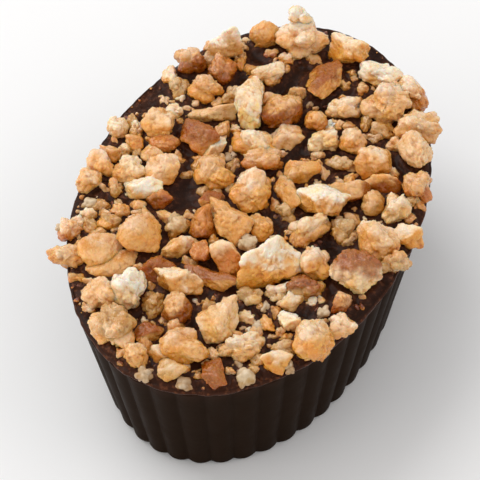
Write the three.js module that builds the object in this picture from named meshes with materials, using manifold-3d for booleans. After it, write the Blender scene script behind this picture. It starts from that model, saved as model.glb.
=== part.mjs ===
import * as THREE from 'three';
import { mergeVertices } from 'three/addons/utils/BufferGeometryUtils.js';
import Module from 'manifold-3d';

// A filled chocolate: an oval cup of dark chocolate with upright flutes round its wall,
// closed by a thin layer of chocolate that carries chopped and caramelised nuts.
// Millimetres, +Z up, origin in the middle of the flat base, long axis of the oval on X.

// Driving dimensions of the cup
const RIM_HALF_LENGTH = 19;
const RIM_HALF_WIDTH = 13.25;
const BODY_HEIGHT = 13;
const BASE_INSET = 2.4;
const FLUTE_COUNT = 46;
const FLUTE_DEPTH = 0.24;
const FLUTE_ROUNDNESS = 0.7;
const STEPS_PER_FLUTE = 6;
const FLUTE_SHIFT_STEPS = 2;
const BASE_EDGE = 0.3;

// Driving dimensions of the closing layer and of how the nuts sit in it
const LAYER_THICKNESS = 0.75;
const LAYER_OVERHANG = 0.1;
const LAYER_EDGE_RADIUS = 0.35;
const LAYER_STEPS = 80;
const NUT_SINK = 0.35;
const SUGAR_COAT = 0.08;

// Seeded shape of the nuts: how many cut faces or lumps, how sharp the edges are and how
// far a nut may lean, in degrees. Reaches are shares of a nut's half size.
const GOLDEN_ANGLE = Math.PI * (3 - Math.sqrt(5));
const SHAPES = {
  chip: { faces: 8, sharpness: 14, lean: 12 },
  round: { faces: 16, sharpness: 6, lean: 12 },
  slice: { faces: 14, sharpness: 6, lean: 4 },
  cluster: { lumps: 8, lean: 12 },
};
const FACE_JITTER = 0.8;
const FACE_NEAREST = 0.75;
const FACE_SPREAD = 0.3;
const LUMP_DISTANCE = 0.55;
const LUMP_SMALLEST = 0.36;
const LUMP_SPREAD = 0.22;
const CORE_RADIUS = 0.62;
const SEEDS_PER_NUT = 100;
const SEEDS_PER_FACE = 7;

// Seeded small pieces that fill the gaps between the large ones
const FILL_SPOTS = 420;
const FILL_REACH = 0.9;
const FILL_SMALLEST = 1.0;
const FILL_LARGEST = 2.4;
const FILL_SLIMMEST = 0.65;
const FILL_SLIM_SPREAD = 0.3;
const FILL_ROOM = 0.3;
const FILL_SHARE = 0.85;
const FILL_IN_SOLID = 1.4;

// Nuts at least this long are worked out on a finer ball of triangles
const FINE_BALL_FROM = 3.0;

// The large nuts, placed by eye: x, y, length, width, height, turn in degrees,
// then, where needed, the lift above the layer and the lean about the long axis.
const CHIPS = [
  [-6.3, -4.1, 5.9, 3.3, 3.6, 145, 0.1, 1],
  [13.1, 7.4, 2.9, 1.8, 4.0, 112],
  [8.2, 3.4, 3.8, 2.6, 3.4, 6],
  [16.6, -1.8, 3.2, 2.2, 2.6, 85],
  [13.1, -0.8, 4.9, 3.0, 1.9, -12],
  [6.6, -0.3, 3.1, 2.1, 1.7, -38],
  [1.4, -2.6, 3.6, 1.9, 2.0, 48],
  [3.7, -2.8, 2.9, 2.1, 1.9, -38],
  [1.1, -5.4, 3.9, 2.8, 2.8, 93],
  [-6.3, -0.4, 3.6, 2.4, 2.4, 56],
  [-8.5, -0.2, 4.6, 1.9, 1.8, 78],
  [-10.0, 1.8, 4.0, 2.3, 2.2, 93],
  [-2.4, 8.0, 2.9, 1.8, 2.1, -62],
  [-0.4, 7.1, 3.3, 2.5, 2.3, -38],
  [4.1, 9.5, 2.7, 2.4, 2.6, 10],
  [6.7, 6.0, 4.0, 1.6, 1.7, 109],
  [4.0, 6.1, 3.8, 2.6, 2.5, 64],
  [3.4, 4.5, 3.3, 1.4, 1.7, -21],
  [-12.3, -2.3, 3.7, 2.8, 2.6, 10],
  [-13.9, -7.8, 2.6, 1.7, 1.9, -43],
  [-7.0, -10.2, 1.8, 1.6, 1.8, 20],
  [-3.0, 0.7, 4.2, 3.0, 2.4, 60],
  [-9.3, 3.9, 3.2, 2.0, 1.8, -55],
  [-16.8, -3.9, 2.6, 1.7, 1.7, 33],
  [-17.7, -0.6, 2.3, 1.9, 1.8, 60],
  [0.7, -12.8, 2.5, 1.7, 1.8, 100],
  [3.0, -6.8, 3.6, 2.0, 2.0, 106],
  [-4.2, 2.3, 2.7, 2.3, 2.3, 30],
  [4.8, -9.1, 3.4, 1.3, 1.8, 98],
  [-14.9, 2.2, 2.3, 1.6, 1.5, -55],
  [-8.2, -6.7, 2.2, 1.4, 1.5, -43],
  [-1.4, 2.8, 2.2, 1.5, 1.6, -55],
  [-10.2, -7.3, 2.1, 1.7, 1.8, 100],
  [-6.5, 1.5, 2.1, 1.6, 1.8, 0],
];
const CLUSTERS = [
  [16.3, 2.2, 4.4, 3.0, 3.0, 100],
  [17.1, 2.7, 2.1, 1.7, 1.8, 100, 2.1],
  [15.2, -5.0, 3.7, 2.1, 2.1, 93],
  [14.3, -8.0, 3.4, 2.2, 2.4, 64],
  [12.2, -6.6, 3.9, 3.2, 3.0, 93],
  [11.1, -9.7, 4.0, 2.4, 2.4, 106],
  [11.0, 9.7, 2.9, 2.2, 2.3, 97],
  [8.8, 7.5, 3.1, 2.3, 2.1, 106],
  [11.0, 7.0, 2.6, 2.4, 2.4, 20],
  [12.0, 3.4, 2.9, 2.0, 1.9, -55],
  [-12.4, 4.9, 3.0, 2.8, 3.2, 30],
  [-13.1, 7.0, 2.9, 2.5, 2.6, 106],
  [-15.7, 4.8, 3.9, 3.3, 2.6, 46],
  [-10.5, 11.0, 3.2, 1.6, 1.7, 106],
  [-8.2, 11.7, 2.0, 1.8, 1.9, 20],
  [0.9, 3.5, 3.2, 2.6, 2.3, 100],
  [-4.5, -7.3, 2.8, 2.6, 2.4, 60],
  [-9.3, -11.2, 2.2, 2.0, 1.9, 0],
  [5.5, -11.8, 2.8, 2.4, 2.4, 46],
  [2.9, -10.9, 2.5, 2.0, 2.2, 0],
  [-2.2, -12.6, 2.6, 1.7, 1.8, -43],
  [-1.5, -5.6, 3.8, 1.9, 1.9, -27],
  [-13.7, -4.8, 3.7, 2.0, 1.9, -49],
  [7.2, -3.2, 2.7, 1.9, 1.8, -55],
  [5.0, 1.7, 3.9, 2.4, 2.2, 93],
  [3.5, 0.6, 3.3, 2.0, 1.9, -62],
  [0.1, 0.0, 3.9, 3.3, 2.6, -3],
  [-15.3, -0.9, 3.7, 3.0, 2.4, 93],
  [10.8, -3.5, 2.9, 1.9, 2.0, -60],
  [-1.3, 9.7, 2.8, 2.1, 2.3, 100],
  [-1.4, 12.1, 2.3, 1.9, 1.9, 60],
  [-6.6, -7.2, 3.0, 2.2, 1.8, 112],
  [-0.4, -7.8, 2.2, 1.9, 1.5, 0],
  [-4.9, 4.2, 2.1, 1.8, 1.8, -12],
];
const ROUNDS = [
  [8.7, 0.9, 3.7, 2.8, 2.6, -27],
  [6.6, -7.7, 2.9, 2.8, 2.6, 0],
  [-12.3, 0.9, 2.4, 2.3, 2.2, 0],
  [-11.2, -9.6, 3.4, 3.1, 2.7, -3],
  [-0.9, -10.8, 3.3, 3.1, 2.8, 46],
  [8.5, -10.4, 3.0, 2.4, 2.6, 46],
  [-4.4, -10.3, 3.9, 3.2, 2.9, 100],
  [2.5, 8.3, 2.6, 1.6, 1.5, -55],
  [-17.3, 2.2, 2.0, 1.7, 1.8, 20],
  [15.8, 5.1, 2.6, 2.0, 2.2, -49],
  [-3.2, 12.5, 2.3, 1.9, 1.9, -21],
  [2.6, 12.4, 1.9, 1.7, 1.8, 0],
  [7.9, -5.4, 2.6, 2.0, 2.0, 40],
  [-2.4, -1.8, 2.3, 1.9, 1.8, 60],
  [-6.6, 3.3, 3.1, 1.5, 1.6, -38],
  [8.9, -1.9, 1.7, 1.6, 1.8, 0],
  [-2.7, 6.6, 2.3, 1.6, 1.7, 100],
  [2.6, -9.1, 2.2, 1.9, 1.9, 0],
];
const SLICES = [
  [-6.9, 6.2, 3.9, 3.5, 1.3, -7, 0.7, 14],
  [-9.1, 8.8, 3.6, 2.7, 1.0, -21, 0.7, 12],
  [-9.8, 7.5, 4.2, 2.4, 0.8, -49, 0.2, 4],
];
// Small lumps, most of them of clouded sugar
const LUMPS = [
  [14.5, 2.7, 1.5, 1.2, 1.2, -42],
  [9.0, 5.2, 2.0, 1.6, 1.4, 0],
  [8.3, 9.7, 2.1, 1.6, 1.5, 0],
  [12.9, 6.2, 2.0, 1.0, 1.2, 16],
  [13.6, -4.1, 1.4, 1.1, 1.1, 7],
  [9.4, -3.6, 1.4, 1.1, 1.0, -67],
  [10.4, -5.6, 1.8, 1.0, 1.2, 16],
  [10.1, -7.2, 2.2, 1.5, 1.4, 89],
  [9.0, -8.7, 1.7, 1.4, 1.4, -67],
  [5.7, -5.4, 2.8, 1.5, 1.3, -85],
  [4.2, -11.7, 1.4, 1.1, 1.2, -67],
  [-0.3, -3.2, 1.9, 1.5, 1.4, 48],
  [-4.2, -1.4, 1.7, 1.5, 1.4, 16],
  [2.6, 2.5, 1.5, 1.2, 1.0, 0],
  [-7.9, -5.3, 1.8, 1.4, 1.5, -67],
  [-12.3, 2.9, 2.5, 1.8, 1.6, 16],
  [-6.2, 11.2, 1.5, 1.2, 1.2, -40],
  [-5.0, 10.6, 1.4, 1.1, 1.0, -67],
  [-10.8, -4.0, 1.8, 1.2, 1.1, -79],
  [-18.4, 1.0, 1.6, 1.3, 1.2, -67],
  [-18.1, -2.0, 1.5, 1.2, 1.0, -67],
  [-16.0, -6.0, 1.7, 1.4, 1.2, 0],
  [-12.5, -7.8, 2.0, 1.3, 1.3, -48],
  [-6.3, 9.3, 1.9, 1.4, 1.4, -67],
  [-4.9, 8.9, 1.7, 1.3, 1.3, -67],
  [-3.9, 7.9, 1.5, 1.1, 1.1, -67],
  [-3.1, 10.1, 1.6, 1.3, 1.5, 23],
  [-7.2, 11.6, 1.5, 1.2, 1.1, 0],
  [3.0, 11.0, 1.8, 1.1, 1.3, 23],
  [5.9, 8.9, 1.5, 1.3, 1.4, 23],
  [0.7, 11.1, 1.4, 1.3, 1.3, -20],
  [-9.0, -3.6, 1.9, 1.4, 1.4, -67],
];

// Bare spots of the layer, where the fill keeps off: x, y, length, width, no height, turn
const BARE_SPOTS = [
  [14.0, 5.0, 2.6, 1.8, 0, 23],
  [12.6, 1.5, 4.6, 1.7, 0, -10],
  [12.9, -2.3, 3.2, 1.0, 0, 0],
  [5.8, -1.5, 5.0, 1.2, 0, -8],
  [6.2, -4.3, 2.0, 1.6, 0, 23],
  [7.4, -9.2, 2.0, 1.5, 0, 23],
  [-1.8, 5.2, 3.0, 2.6, 0, 0],
  [1.8, 6.0, 2.2, 1.0, 0, 23],
  [-1.5, -3.2, 2.4, 2.0, 0, -30],
  [0.9, -1.6, 1.8, 1.2, 0, 0],
  [-2.1, -8.0, 3.0, 1.9, 0, -66],
  [-6.8, -9.3, 3.4, 1.3, 0, 23],
  [-8.8, -8.4, 5.0, 0.9, 0, -66],
  [-14.8, -7.2, 5.2, 1.5, 0, 4],
  [-12.9, -0.6, 3.4, 0.9, 0, 23],
  [-9.9, -3.1, 1.8, 1.5, 0, 0],
  [-8.2, 2.9, 1.3, 1.2, 0, 0],
  [-14.3, 1.3, 1.3, 1.2, 0, 0],
  [-14.5, 3.5, 1.2, 1.1, 0, 0],
  [7.2, 10.9, 6.6, 1.1, 0, -28],
  [0.5, 12.7, 2.6, 0.8, 0, -15],
  [1.4, 9.9, 2.2, 0.9, 0, 23],
  [17.0, -4.2, 3.2, 1.0, 0, 68],
  [-0.5, -13.2, 1.6, 1.1, 0, 23],
  [-6.5, -12.2, 1.6, 1.0, 0, 23],
  [6.8, 5.0, 2.0, 0.9, 0, 0],
  [6.9, 1.9, 1.4, 1.0, 0, -30],
  [-5.5, -6.4, 1.6, 1.0, 0, 30],
  [11.3, 5.6, 1.6, 0.8, 0, 23],
];

const wasm = await Module();
wasm.setup();

// A fixed draw between 0 and 1 for each seed.
function draw(seed) {
  const value = Math.sin(seed * 12.9898) * 43758.5453;
  return value - Math.floor(value);
}

// Direction number k of count, spread evenly over a sphere on a spiral.
function spiral(k, count) {
  const z = 1 - (2 * k + 1) / count;
  const r = Math.sqrt(1 - z * z);
  return new THREE.Vector3(r * Math.cos(k * GOLDEN_ANGLE), r * Math.sin(k * GOLDEN_ANGLE), z);
}

function shaken(direction, seed) {
  const shake = new THREE.Vector3(draw(seed) - 0.5, draw(seed + 1) - 0.5, draw(seed + 2) - 0.5);
  return direction.addScaledVector(shake, FACE_JITTER).normalize();
}

// A cut nut: the distance from its middle to a set of flat faces, rounded where they meet.
function facedRadius(seed, faces, sharpness) {
  const normals = [];
  for (let k = 0; k < faces; k += 1) {
    const own = seed + SEEDS_PER_FACE * k;
    const reach = FACE_NEAREST + FACE_SPREAD * draw(own + 3);
    normals.push(shaken(spiral(k, faces), own).divideScalar(reach));
  }
  return (direction) => {
    const total = normals.reduce((sum, n) => sum + Math.max(n.dot(direction), 0) ** sharpness, 0);
    return total ** (-1 / sharpness);
  };
}

// A sugared cluster: the farthest skin of a core and of the round lumps grown into it.
function lumpyRadius(seed, lumps) {
  const balls = [];
  for (let k = 0; k < lumps; k += 1) {
    const own = seed + SEEDS_PER_FACE * k;
    const centre = shaken(spiral(k, lumps), own).multiplyScalar(LUMP_DISTANCE);
    balls.push({ centre, radius: LUMP_SMALLEST + LUMP_SPREAD * draw(own + 3) });
  }
  return (direction) => balls.reduce((far, ball) => {
    const along = ball.centre.dot(direction);
    const inside = ball.radius ** 2 - ball.centre.lengthSq() + along ** 2;
    return inside > 0 ? Math.max(far, along + Math.sqrt(inside)) : far;
  }, CORE_RADIUS);
}

// One nut as a closed mesh: its skin is worked out along the directions of a ball of
// triangles, fitted to its length, width and height, leaned, turned and set in the layer.
function nutGeometry(kind, row, seed, ball) {
  const [x, y, length, width, height, turn, lift = 0, lean] = row;
  const shape = SHAPES[kind];
  const radius = shape.lumps
    ? lumpyRadius(seed, shape.lumps)
    : facedRadius(seed, shape.faces, shape.sharpness);
  ball.deleteAttribute('normal');
  ball.deleteAttribute('uv');
  const nut = mergeVertices(ball);
  const place = nut.getAttribute('position');
  const point = new THREE.Vector3();
  for (let i = 0; i < place.count; i += 1) {
    point.fromBufferAttribute(place, i).normalize();
    point.multiplyScalar(radius(point));
    place.setXYZ(i, point.x, point.y, point.z);
  }
  nut.computeBoundingBox();
  const size = nut.boundingBox.getSize(new THREE.Vector3());
  nut.center();
  const coat = 2 * SUGAR_COAT;
  nut.scale((length + coat) / size.x, (width + coat) / size.y, (height + coat) / size.z);
  const leanAngle = lean ?? 2 * shape.lean * (draw(seed + 5) - 0.5);
  nut.rotateX(THREE.MathUtils.degToRad(leanAngle));
  nut.rotateZ(THREE.MathUtils.degToRad(turn));
  nut.computeBoundingBox();
  nut.translate(x, y, BODY_HEIGHT - NUT_SINK + lift - nut.boundingBox.min.z);
  return nut;
}

// True where a spot keeps off a nut's oval footprint by the given room.
function clearOf(row, x, y, room) {
  const turn = THREE.MathUtils.degToRad(row[5]);
  const dx = x - row[0];
  const dy = y - row[1];
  const along = (dx * Math.cos(turn) + dy * Math.sin(turn)) / (row[2] / 2 + room);
  const across = (dy * Math.cos(turn) - dx * Math.sin(turn)) / (row[3] / 2 + room);
  return along ** 2 + across ** 2 > 1;
}

// Small pieces on a spiral of spots over the oval, left out where something already lies
// and where the layer is bare.
function fillRows(taken) {
  const rows = [];
  for (let k = 0; k < FILL_SPOTS; k += 1) {
    const reach = FILL_REACH * Math.sqrt((k + 0.5) / FILL_SPOTS);
    const x = RIM_HALF_LENGTH * reach * Math.cos(k * GOLDEN_ANGLE);
    const y = RIM_HALF_WIDTH * reach * Math.sin(k * GOLDEN_ANGLE);
    const size = FILL_SMALLEST + (FILL_LARGEST - FILL_SMALLEST) * draw(9 * k + 1) ** 2;
    const free = [...taken, ...rows].every((row) => clearOf(row, x, y, FILL_ROOM * size));
    if (free && draw(9 * k + 2) < FILL_SHARE) {
      const width = size * (FILL_SLIMMEST + FILL_SLIM_SPREAD * draw(9 * k + 3));
      const height = size * (FILL_SLIMMEST + FILL_SLIM_SPREAD * draw(9 * k + 4));
      rows.push([x, y, size, width, height, 360 * draw(9 * k + 5)]);
    }
  }
  return rows;
}

// Angles of the oval that divide its rim into equal lengths.
function equalSteps(count) {
  const fine = 7200;
  const lengths = [0];
  for (let i = 1; i <= fine; i += 1) {
    const angle = ((i - 0.5) / fine) * 2 * Math.PI;
    const speed = Math.hypot(RIM_HALF_LENGTH * Math.sin(angle), RIM_HALF_WIDTH * Math.cos(angle));
    lengths.push(lengths[i - 1] + speed);
  }
  const angles = [];
  let i = 0;
  for (let k = 0; k < count; k += 1) {
    while (lengths[i + 1] < (k / count) * lengths[fine]) {
      i += 1;
    }
    const part = ((k / count) * lengths[fine] - lengths[i]) / (lengths[i + 1] - lengths[i]);
    angles.push(((i + part) / fine) * 2 * Math.PI);
  }
  return angles;
}

// One level of the wall: the oval of that height moved along its outward normal.
function ovalRing(angles, height, offsets) {
  const inset = BASE_INSET * (1 - height / BODY_HEIGHT);
  const halfLength = RIM_HALF_LENGTH - inset;
  const halfWidth = RIM_HALF_WIDTH - inset;
  return angles.map((angle, i) => {
    const normal = new THREE.Vector2(Math.cos(angle) / halfLength, Math.sin(angle) / halfWidth);
    normal.normalize().multiplyScalar(offsets(i));
    const x = halfLength * Math.cos(angle) + normal.x;
    const y = halfWidth * Math.sin(angle) + normal.y;
    return new THREE.Vector3(x, y, height);
  });
}

// A closed solid from rings of equal count, lowest first, with flat ends.
function solidFromRings(rings) {
  const count = rings[0].length;
  const last = (rings.length - 1) * count;
  const points = rings.flat();
  points.push(new THREE.Vector3(0, 0, rings[0][0].z));
  points.push(new THREE.Vector3(0, 0, rings[rings.length - 1][0].z));
  const faces = [];
  for (let i = 0; i < count; i += 1) {
    const next = (i + 1) % count;
    for (let level = 0; level < last; level += count) {
      faces.push(level + i, level + next, level + count + next);
      faces.push(level + i, level + count + next, level + count + i);
    }
    faces.push(points.length - 2, next, i);
    faces.push(points.length - 1, last + i, last + next);
  }
  const solid = new THREE.BufferGeometry().setFromPoints(points);
  solid.setIndex(faces);
  return solid;
}

// The cup: broad rounded ribs that meet in narrow grooves, on a wall that leans out.
function shellGeometry() {
  const angles = equalSteps(FLUTE_COUNT * STEPS_PER_FLUTE);
  const groove = (i) => {
    const rise = Math.abs(Math.sin((Math.PI * (i + FLUTE_SHIFT_STEPS)) / STEPS_PER_FLUTE));
    return FLUTE_DEPTH * (rise ** FLUTE_ROUNDNESS - 1);
  };
  return solidFromRings([
    ovalRing(angles, 0, (i) => groove(i) - BASE_EDGE),
    ovalRing(angles, BASE_EDGE, groove),
    ovalRing(angles, BODY_HEIGHT - LAYER_THICKNESS, groove),
  ]);
}

// The closing layer: a thin oval plate with a soft edge, a little wider than the cup.
function layerGeometry() {
  const angles = equalSteps(LAYER_STEPS);
  const bottom = BODY_HEIGHT - LAYER_THICKNESS;
  const edge = LAYER_EDGE_RADIUS;
  return solidFromRings([
    ovalRing(angles, bottom, () => 0),
    ovalRing(angles, bottom + 0.3 * LAYER_THICKNESS, () => LAYER_OVERHANG),
    ovalRing(angles, BODY_HEIGHT - 0.5 * edge, () => 0),
    ovalRing(angles, BODY_HEIGHT, () => -edge),
  ]);
}

function toSolid(geometry) {
  return new wasm.Manifold(new wasm.Mesh({
    numProp: 3,
    vertProperties: new Float32Array(geometry.getAttribute('position').array),
    triVerts: new Uint32Array(geometry.index.array),
  }));
}

function toGeometry(solid) {
  const mesh = solid.getMesh();
  const geometry = new THREE.BufferGeometry();
  geometry.setAttribute('position', new THREE.BufferAttribute(mesh.vertProperties, 3));
  geometry.setIndex(new THREE.BufferAttribute(mesh.triVerts, 1));
  return geometry;
}

// The layer with every nut fused to it. Only the outermost skin is kept, so a hollow
// that the fused pieces shut in is filled and a loose scrap is dropped.
function toppingGeometry() {
  const kinds = [
    ['chip', CHIPS],
    ['cluster', CLUSTERS],
    ['round', ROUNDS],
    ['slice', SLICES],
    ['cluster', LUMPS],
  ];
  const placed = kinds.flatMap(([, rows]) => rows);
  let joined = toSolid(layerGeometry());
  let seed = SEEDS_PER_NUT;
  for (const [kind, rows] of kinds) {
    for (const row of rows) {
      const fine = row[2] >= FINE_BALL_FROM;
      const ball = fine ? new THREE.IcosahedronGeometry(1, 1) : new THREE.DodecahedronGeometry(1);
      joined = joined.add(toSolid(nutGeometry(kind, row, seed, ball)));
      seed += SEEDS_PER_NUT;
    }
  }
  for (const row of fillRows([...placed, ...BARE_SPOTS])) {
    if (row[2] >= FILL_IN_SOLID) {
      const ball = new THREE.IcosahedronGeometry(1);
      joined = joined.add(toSolid(nutGeometry('chip', row, seed, ball)));
    }
    seed += SEEDS_PER_NUT;
  }
  const pieces = joined.decompose().sort((a, b) => b.volume() - a.volume());
  return toGeometry(pieces[0]);
}

function namedMesh(name, geometry, color, roughness) {
  const material = new THREE.MeshStandardMaterial({ color, roughness, metalness: 0 });
  const mesh = new THREE.Mesh(geometry, material);
  mesh.name = name;
  return mesh;
}

const group = new THREE.Group();
group.add(namedMesh('shell', shellGeometry(), 0x2a1c18, 0.38));
group.add(namedMesh('topping', toppingGeometry(), 0xe0b58a, 0.55));

export default group;
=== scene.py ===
# %% [markdown]
# # A filled chocolate with chopped nuts
# The object is a small oval chocolate. A fluted cup of dark chocolate holds a hidden filling, a
# thin layer of chocolate closes it, and that layer is thickly set with chopped and caramelised
# nuts. We build the cup first, then the nuts with the small pieces and crumbs between them, and
# last the layer, because it climbs a little round each nut.
#
# Every shape here is a set of numpy arrays. We work in millimetres, because that is how one
# thinks about a chocolate, and turn to metres only when an array becomes a mesh.

# %% Load the frame
import functools
import itertools
import math

import bpy
import numpy as np
from mathutils import Matrix, Vector


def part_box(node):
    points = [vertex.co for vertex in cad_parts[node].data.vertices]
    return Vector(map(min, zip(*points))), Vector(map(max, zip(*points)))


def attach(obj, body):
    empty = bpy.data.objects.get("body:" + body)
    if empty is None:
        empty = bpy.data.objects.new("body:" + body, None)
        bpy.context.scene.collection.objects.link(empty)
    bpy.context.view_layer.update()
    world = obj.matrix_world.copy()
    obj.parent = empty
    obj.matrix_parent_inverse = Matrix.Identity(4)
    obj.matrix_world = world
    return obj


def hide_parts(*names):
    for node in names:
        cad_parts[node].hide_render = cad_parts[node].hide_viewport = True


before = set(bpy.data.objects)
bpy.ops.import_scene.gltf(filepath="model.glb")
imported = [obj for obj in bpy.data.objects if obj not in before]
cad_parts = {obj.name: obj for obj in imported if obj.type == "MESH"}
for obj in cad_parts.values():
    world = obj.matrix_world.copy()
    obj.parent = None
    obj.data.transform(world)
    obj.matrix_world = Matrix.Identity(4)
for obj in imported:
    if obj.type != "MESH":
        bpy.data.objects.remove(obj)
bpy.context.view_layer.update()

MM = 0.001

# %% Driving sizes of the cup and its layer
HALF_LENGTH = 19.0
HALF_WIDTH = 13.25
BODY_HEIGHT = 13.0
BASE_INSET = 2.4
LAYER_THICKNESS = 0.75
LAYER_BOTTOM = BODY_HEIGHT - LAYER_THICKNESS

cup_top_in_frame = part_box("shell")[1].z / MM
print("cup top in the frame:", round(cup_top_in_frame, 2), "and here:", LAYER_BOTTOM)

# %% [markdown]
# ## The camera
# The photograph looks down on the chocolate at about 52 degrees, from beyond its left end and
# with a long lens, so that the oval is hardly distorted. We place such a camera by its azimuth
# and elevation round the object. A long lens far away could also be an orthographic camera, but
# a real lens keeps the slight narrowing towards the back.

# %% Camera at the photograph's viewing angle
VIEW_AZIMUTH = -66.54
VIEW_ELEVATION = 52.0
VIEW_ROLL = -1.51
VIEW_DISTANCE = 240.0
VIEW_AIM = (0.33, 1.17, 7.1)
LENS = 226.5
SENSOR = 36.0
NEAREST_SEEN = 0.01


def look(azimuth, elevation, roll):
    """The camera's own right, up and back directions: back points from the object to the camera,
    right is level, and both right and up are then turned about back by the roll."""
    a, e, r = (math.radians(angle) for angle in (azimuth, elevation, roll))
    back = np.array((math.sin(a) * math.cos(e), -math.cos(a) * math.cos(e), math.sin(e)))
    level = np.array((math.cos(a), math.sin(a), 0.0))
    upright = np.cross(back, level)
    right = math.cos(r) * level + math.sin(r) * upright
    return right, np.cross(back, right), back


view_right, view_up, view_back = look(VIEW_AZIMUTH, VIEW_ELEVATION, VIEW_ROLL)
view_away = -view_back * (1, 1, 0) / np.hypot(*view_back[:2])
camera_place = (np.array(VIEW_AIM) + VIEW_DISTANCE * view_back) * MM
camera_data = bpy.data.cameras.new("camera")
camera_data.lens = LENS
camera_data.sensor_width = SENSOR
camera_data.clip_start = NEAREST_SEEN
camera = bpy.data.objects.new("camera", camera_data)
bpy.context.scene.collection.objects.link(camera)
turned = Matrix([list(row) for row in np.column_stack((view_right, view_up, view_back))])
camera.matrix_world = Matrix.Translation(Vector(camera_place)) @ turned.to_4x4()
bpy.context.scene.camera = camera
bpy.context.scene.view_settings.view_transform = "Standard"
print("camera at mm:", [round(c / MM, 1) for c in camera.matrix_world.translation])

# %% [markdown]
# ## Tools that every piece shares
# A chopped nut has no two corners alike, and still we want the same chocolate at each run. So
# nothing is random: `draw` turns a seed into a number between 0 and 1, and the same seed always
# gives the same number. Three kinds of relief are built on such draws. Soft noise makes slow
# dents, grains make the little domes of sugar, and chunks the broken lumps between sharp creases.


# %% Draws and soft noise
SINE_STEP = 12.9898
SINE_GAIN = 43758.5453
CORNER_STEPS = (73856093, 19349663, 83492791)
SEED_STEP = 40503
FIRST_MIXER = 2246822519
SECOND_MIXER = 3266489917
LOW_BITS = 2**32 - 1


def draw(seed):
    """The fraction of a sine made very large: scattered between 0 and 1, the same each time."""
    value = np.sin(seed * SINE_STEP) * SINE_GAIN
    return value - np.floor(value)


def corner_draw(corner, seed):
    """A draw for each whole-numbered corner: its three numbers and the seed are multiplied by
    large steps, mixed bit by bit, and brought between 0 and 1."""
    x, y, z = (corner[..., k] * CORNER_STEPS[k] for k in range(3))
    mixed = (x ^ y ^ z ^ seed * SEED_STEP) & LOW_BITS
    mixed = ((mixed ^ mixed >> 15) * FIRST_MIXER) & LOW_BITS
    mixed = ((mixed ^ mixed >> 13) * SECOND_MIXER) & LOW_BITS
    return (mixed ^ mixed >> 16) / (LOW_BITS + 1)


def soft_noise(points, cell, seed):
    """Value noise from -1 to 1: a draw at each corner of a lattice of cubes, blended inside each
    cube by the smooth step 3t^2 - 2t^3 along the three directions."""
    place = points / cell
    corner = np.floor(place).astype(np.int64)
    part = place - corner
    part = part * part * (3 - 2 * part)
    total = np.zeros(len(points))
    for offset in itertools.product((0, 1), repeat=3):
        weight = np.where(offset, part, 1 - part).prod(axis=1)
        total += weight * corner_draw(corner + offset, seed)
    return 2 * total - 1


def two_noises(points, cells, share, seed):
    """Soft noise of the first cell, plus a share of the soft noise of the second cell."""
    return soft_noise(points, cells[0], seed) + share * soft_noise(points, cells[1], seed + 1)


def smooth_step(low, high, value):
    """0 below low, 1 above high and 3t^2 - 2t^3 between them."""
    t = np.clip((value - low) / (high - low), 0, 1)
    return t * t * (3 - 2 * t)


def draws(corner, seeds):
    """Several draws for each corner, side by side."""
    return np.stack([corner_draw(corner, seed) for seed in seeds], axis=1)


def centres_near(points, cell, seed):
    """Each cube of a lattice has one drawn centre. For a point's own cube and the 26 round it:
    the cube, and the way from its centre to the point, both in cells."""
    place = points / cell
    corner = np.floor(place).astype(np.int64)
    for offset in itertools.product((-1, 0, 1), repeat=3):
        cube = corner + offset
        yield cube, place - (cube + draws(cube, range(seed, seed + 3)))


# %% Grains and broken lumps
GRAIN_REACH = 0.85
CHUNK_TILT = 2.2
CHUNK_CREASE = 0.2
CREASE_DEPTH = 0.35
BEYOND_ALL = 9.0


def grains(points, cell, seed):
    """Domes from 0 to 1: the height of a ball of radius GRAIN_REACH round the nearest drawn
    centre, sqrt(reach^2 - distance^2) / reach."""
    nearest = np.full(len(points), GRAIN_REACH**2)
    for _, away in centres_near(points, cell, seed):
        np.minimum(nearest, (away**2).sum(axis=1), out=nearest)
    return np.sqrt(GRAIN_REACH**2 - nearest) / GRAIN_REACH


def chunks(points, cell, seed):
    """Broken lumps, about -0.7 to 0.7: the points nearest to a drawn centre lie on its own
    tilted plane, draw - 0.5 + tilt . (point - centre). Where the two nearest centres are
    equally far, the planes sink into a crease."""
    nearest = np.full(len(points), BEYOND_ALL)
    second = nearest.copy()
    owner = np.zeros(points.shape, np.int64)
    from_owner = np.zeros(points.shape)
    for cube, away in centres_near(points, cell, seed):
        distance = np.linalg.norm(away, axis=1)
        closer = distance < nearest
        second = np.where(closer, nearest, np.minimum(second, distance))
        nearest = np.where(closer, distance, nearest)
        owner[closer] = cube[closer]
        from_owner[closer] = away[closer]
    tilt = CHUNK_TILT * (draws(owner, range(seed + 3, seed + 6)) - 0.5)
    plane = corner_draw(owner, seed + 6) - 0.5 + (tilt * from_owner).sum(axis=1)
    inside = smooth_step(0.0, CHUNK_CREASE, second - nearest)
    return inside * plane - (1 - inside) * CREASE_DEPTH


print("three draws:", [round(float(draw(seed)), 3) for seed in (1, 2, 3)])

# %% [markdown]
# Blender can build a mesh one vertex at a time, which is slow for a hundred thousand of them.
# `foreach_set` copies a whole array in one go, so each piece below is worked out as arrays of
# points and faces and handed over once. Colours and other values that belong to the surface go
# along as attributes, one value for each vertex, and the materials read them by name.


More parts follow.
